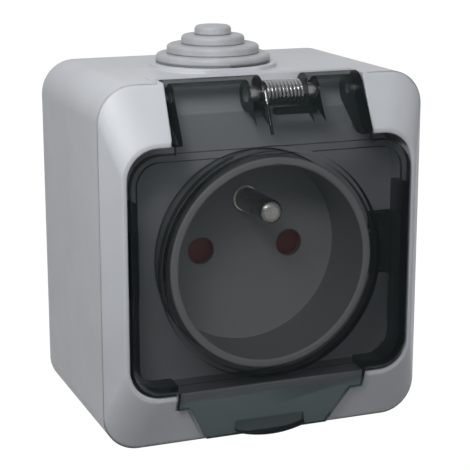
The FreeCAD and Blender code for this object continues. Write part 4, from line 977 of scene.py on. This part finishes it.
def make_floor(height):
    """Pale sheet that runs from the floor up into the backdrop."""
    shape = bmesh.new()
    line = [(-FLOOR_REACH, height)]
    for i in range(FLOOR_FACETS + 1):
        angle = math.radians(90.0) * i / FLOOR_FACETS
        line.append((FLOOR_BACK - FLOOR_BEND + FLOOR_BEND * math.sin(angle),
                     height + FLOOR_BEND - FLOOR_BEND * math.cos(angle)))
    line.append((FLOOR_BACK, FLOOR_RISE))
    rows = [[shape.verts.new((x, y, z)) for y, z in line] for x in (-FLOOR_REACH, FLOOR_REACH)]
    for i in range(len(line) - 1):
        shape.faces.new((rows[0][i], rows[1][i], rows[1][i + 1], rows[0][i + 1]))
    mesh = bpy.data.meshes.new("floor")
    shape.to_mesh(mesh)
    shape.free()
    floor = bpy.data.objects.new("floor", mesh)
    bpy.context.scene.collection.objects.link(floor)
    material = bpy.data.materials.new("pale floor")
    material.use_nodes = True
    tree = material.node_tree
    tree.nodes.clear()
    dull = tree.nodes.new("ShaderNodeBsdfDiffuse")
    dull.inputs["Color"].default_value = FLOOR_GREY
    glow = tree.nodes.new("ShaderNodeEmission")
    tree.links.new(background_share(tree), glow.inputs["Strength"])
    both = tree.nodes.new("ShaderNodeAddShader")
    output = tree.nodes.new("ShaderNodeOutputMaterial")
    tree.links.new(dull.outputs[0], both.inputs[0])
    tree.links.new(glow.outputs[0], both.inputs[1])
    tree.links.new(both.outputs[0], output.inputs["Surface"])
    mesh.materials.append(material)


def make_sky(above, below):
    """Light that fades from above to below, in front of a white background."""
    world = bpy.data.worlds.new("studio")
    bpy.context.scene.world = world
    world.use_nodes = True
    tree = world.node_tree
    tree.nodes.clear()
    way = tree.nodes.new("ShaderNodeTexCoord")
    split = tree.nodes.new("ShaderNodeSeparateXYZ")
    fade = tree.nodes.new("ShaderNodeMapRange")
    fade.inputs["From Min"].default_value, fade.inputs["From Max"].default_value = SKY_FADE
    fade.inputs["To Min"].default_value = below
    fade.inputs["To Max"].default_value = above
    tree.links.new(way.outputs["Generated"], split.inputs[0])
    tree.links.new(split.outputs["Z"], fade.inputs["Value"])
    white = tree.nodes.new("ShaderNodeMix")
    tree.links.new(background_share(tree), white.inputs["Factor"])
    tree.links.new(fade.outputs["Result"], white.inputs["A"])
    white.inputs["B"].default_value = 1.0
    ground = tree.nodes.new("ShaderNodeBackground")
    tree.links.new(white.outputs["Result"], ground.inputs["Strength"])
    output = tree.nodes.new("ShaderNodeOutputWorld")
    tree.links.new(ground.outputs[0], output.inputs["Surface"])


def make_lamp(name, place, width, power):
    """Square lamp that points at the socket."""
    lamp = bpy.data.lights.new(name, "AREA")
    lamp.size = width
    lamp.energy = power
    holder = bpy.data.objects.new(name, lamp)
    bpy.context.scene.collection.objects.link(holder)
    holder.location = place
    aim = LAMP_TARGET - Vector(place)
    holder.rotation_euler = aim.to_track_quat("-Z", "Y").to_euler()


def make_camera():
    """Camera that sees the socket as the photograph does."""
    camera = bpy.data.cameras.new("photo")
    camera.sensor_width = SENSOR_WIDTH
    camera.lens = SENSOR_WIDTH * FOCAL_PIXELS / PICTURE_PIXELS
    camera.clip_start = 0.01
    camera.clip_end = 20.0
    holder = bpy.data.objects.new("photo", camera)
    bpy.context.scene.collection.objects.link(holder)
    holder.location = CAMERA_PLACE
    holder.rotation_euler = (CAMERA_TARGET - CAMERA_PLACE).to_track_quat("-Z", "Y").to_euler()
    bpy.context.scene.camera = holder


def register():
    """Add the operators, the panel and the settings of each scene."""
    for kind in list(SETTINGS.values()) + list(OPERATORS) + [SOCKET_PT_panel]:
        bpy.utils.register_class(kind)
    for name, kind in SETTINGS.items():
        setattr(bpy.types.Scene, name, PointerProperty(type=kind))


def unregister():
    """Take away what register adds."""
    for name in SETTINGS:
        delattr(bpy.types.Scene, name)
    for kind in [SOCKET_PT_panel] + list(reversed(OPERATORS)) + list(reversed(SETTINGS.values())):
        bpy.utils.unregister_class(kind)


def main():
    """Make every group of pieces and the stage."""
    register()
    for kind in OPERATORS:
        group, action = kind.bl_idname.split(".")
        getattr(getattr(bpy.ops, group), action)()


if __name__ == "__main__":
    main()
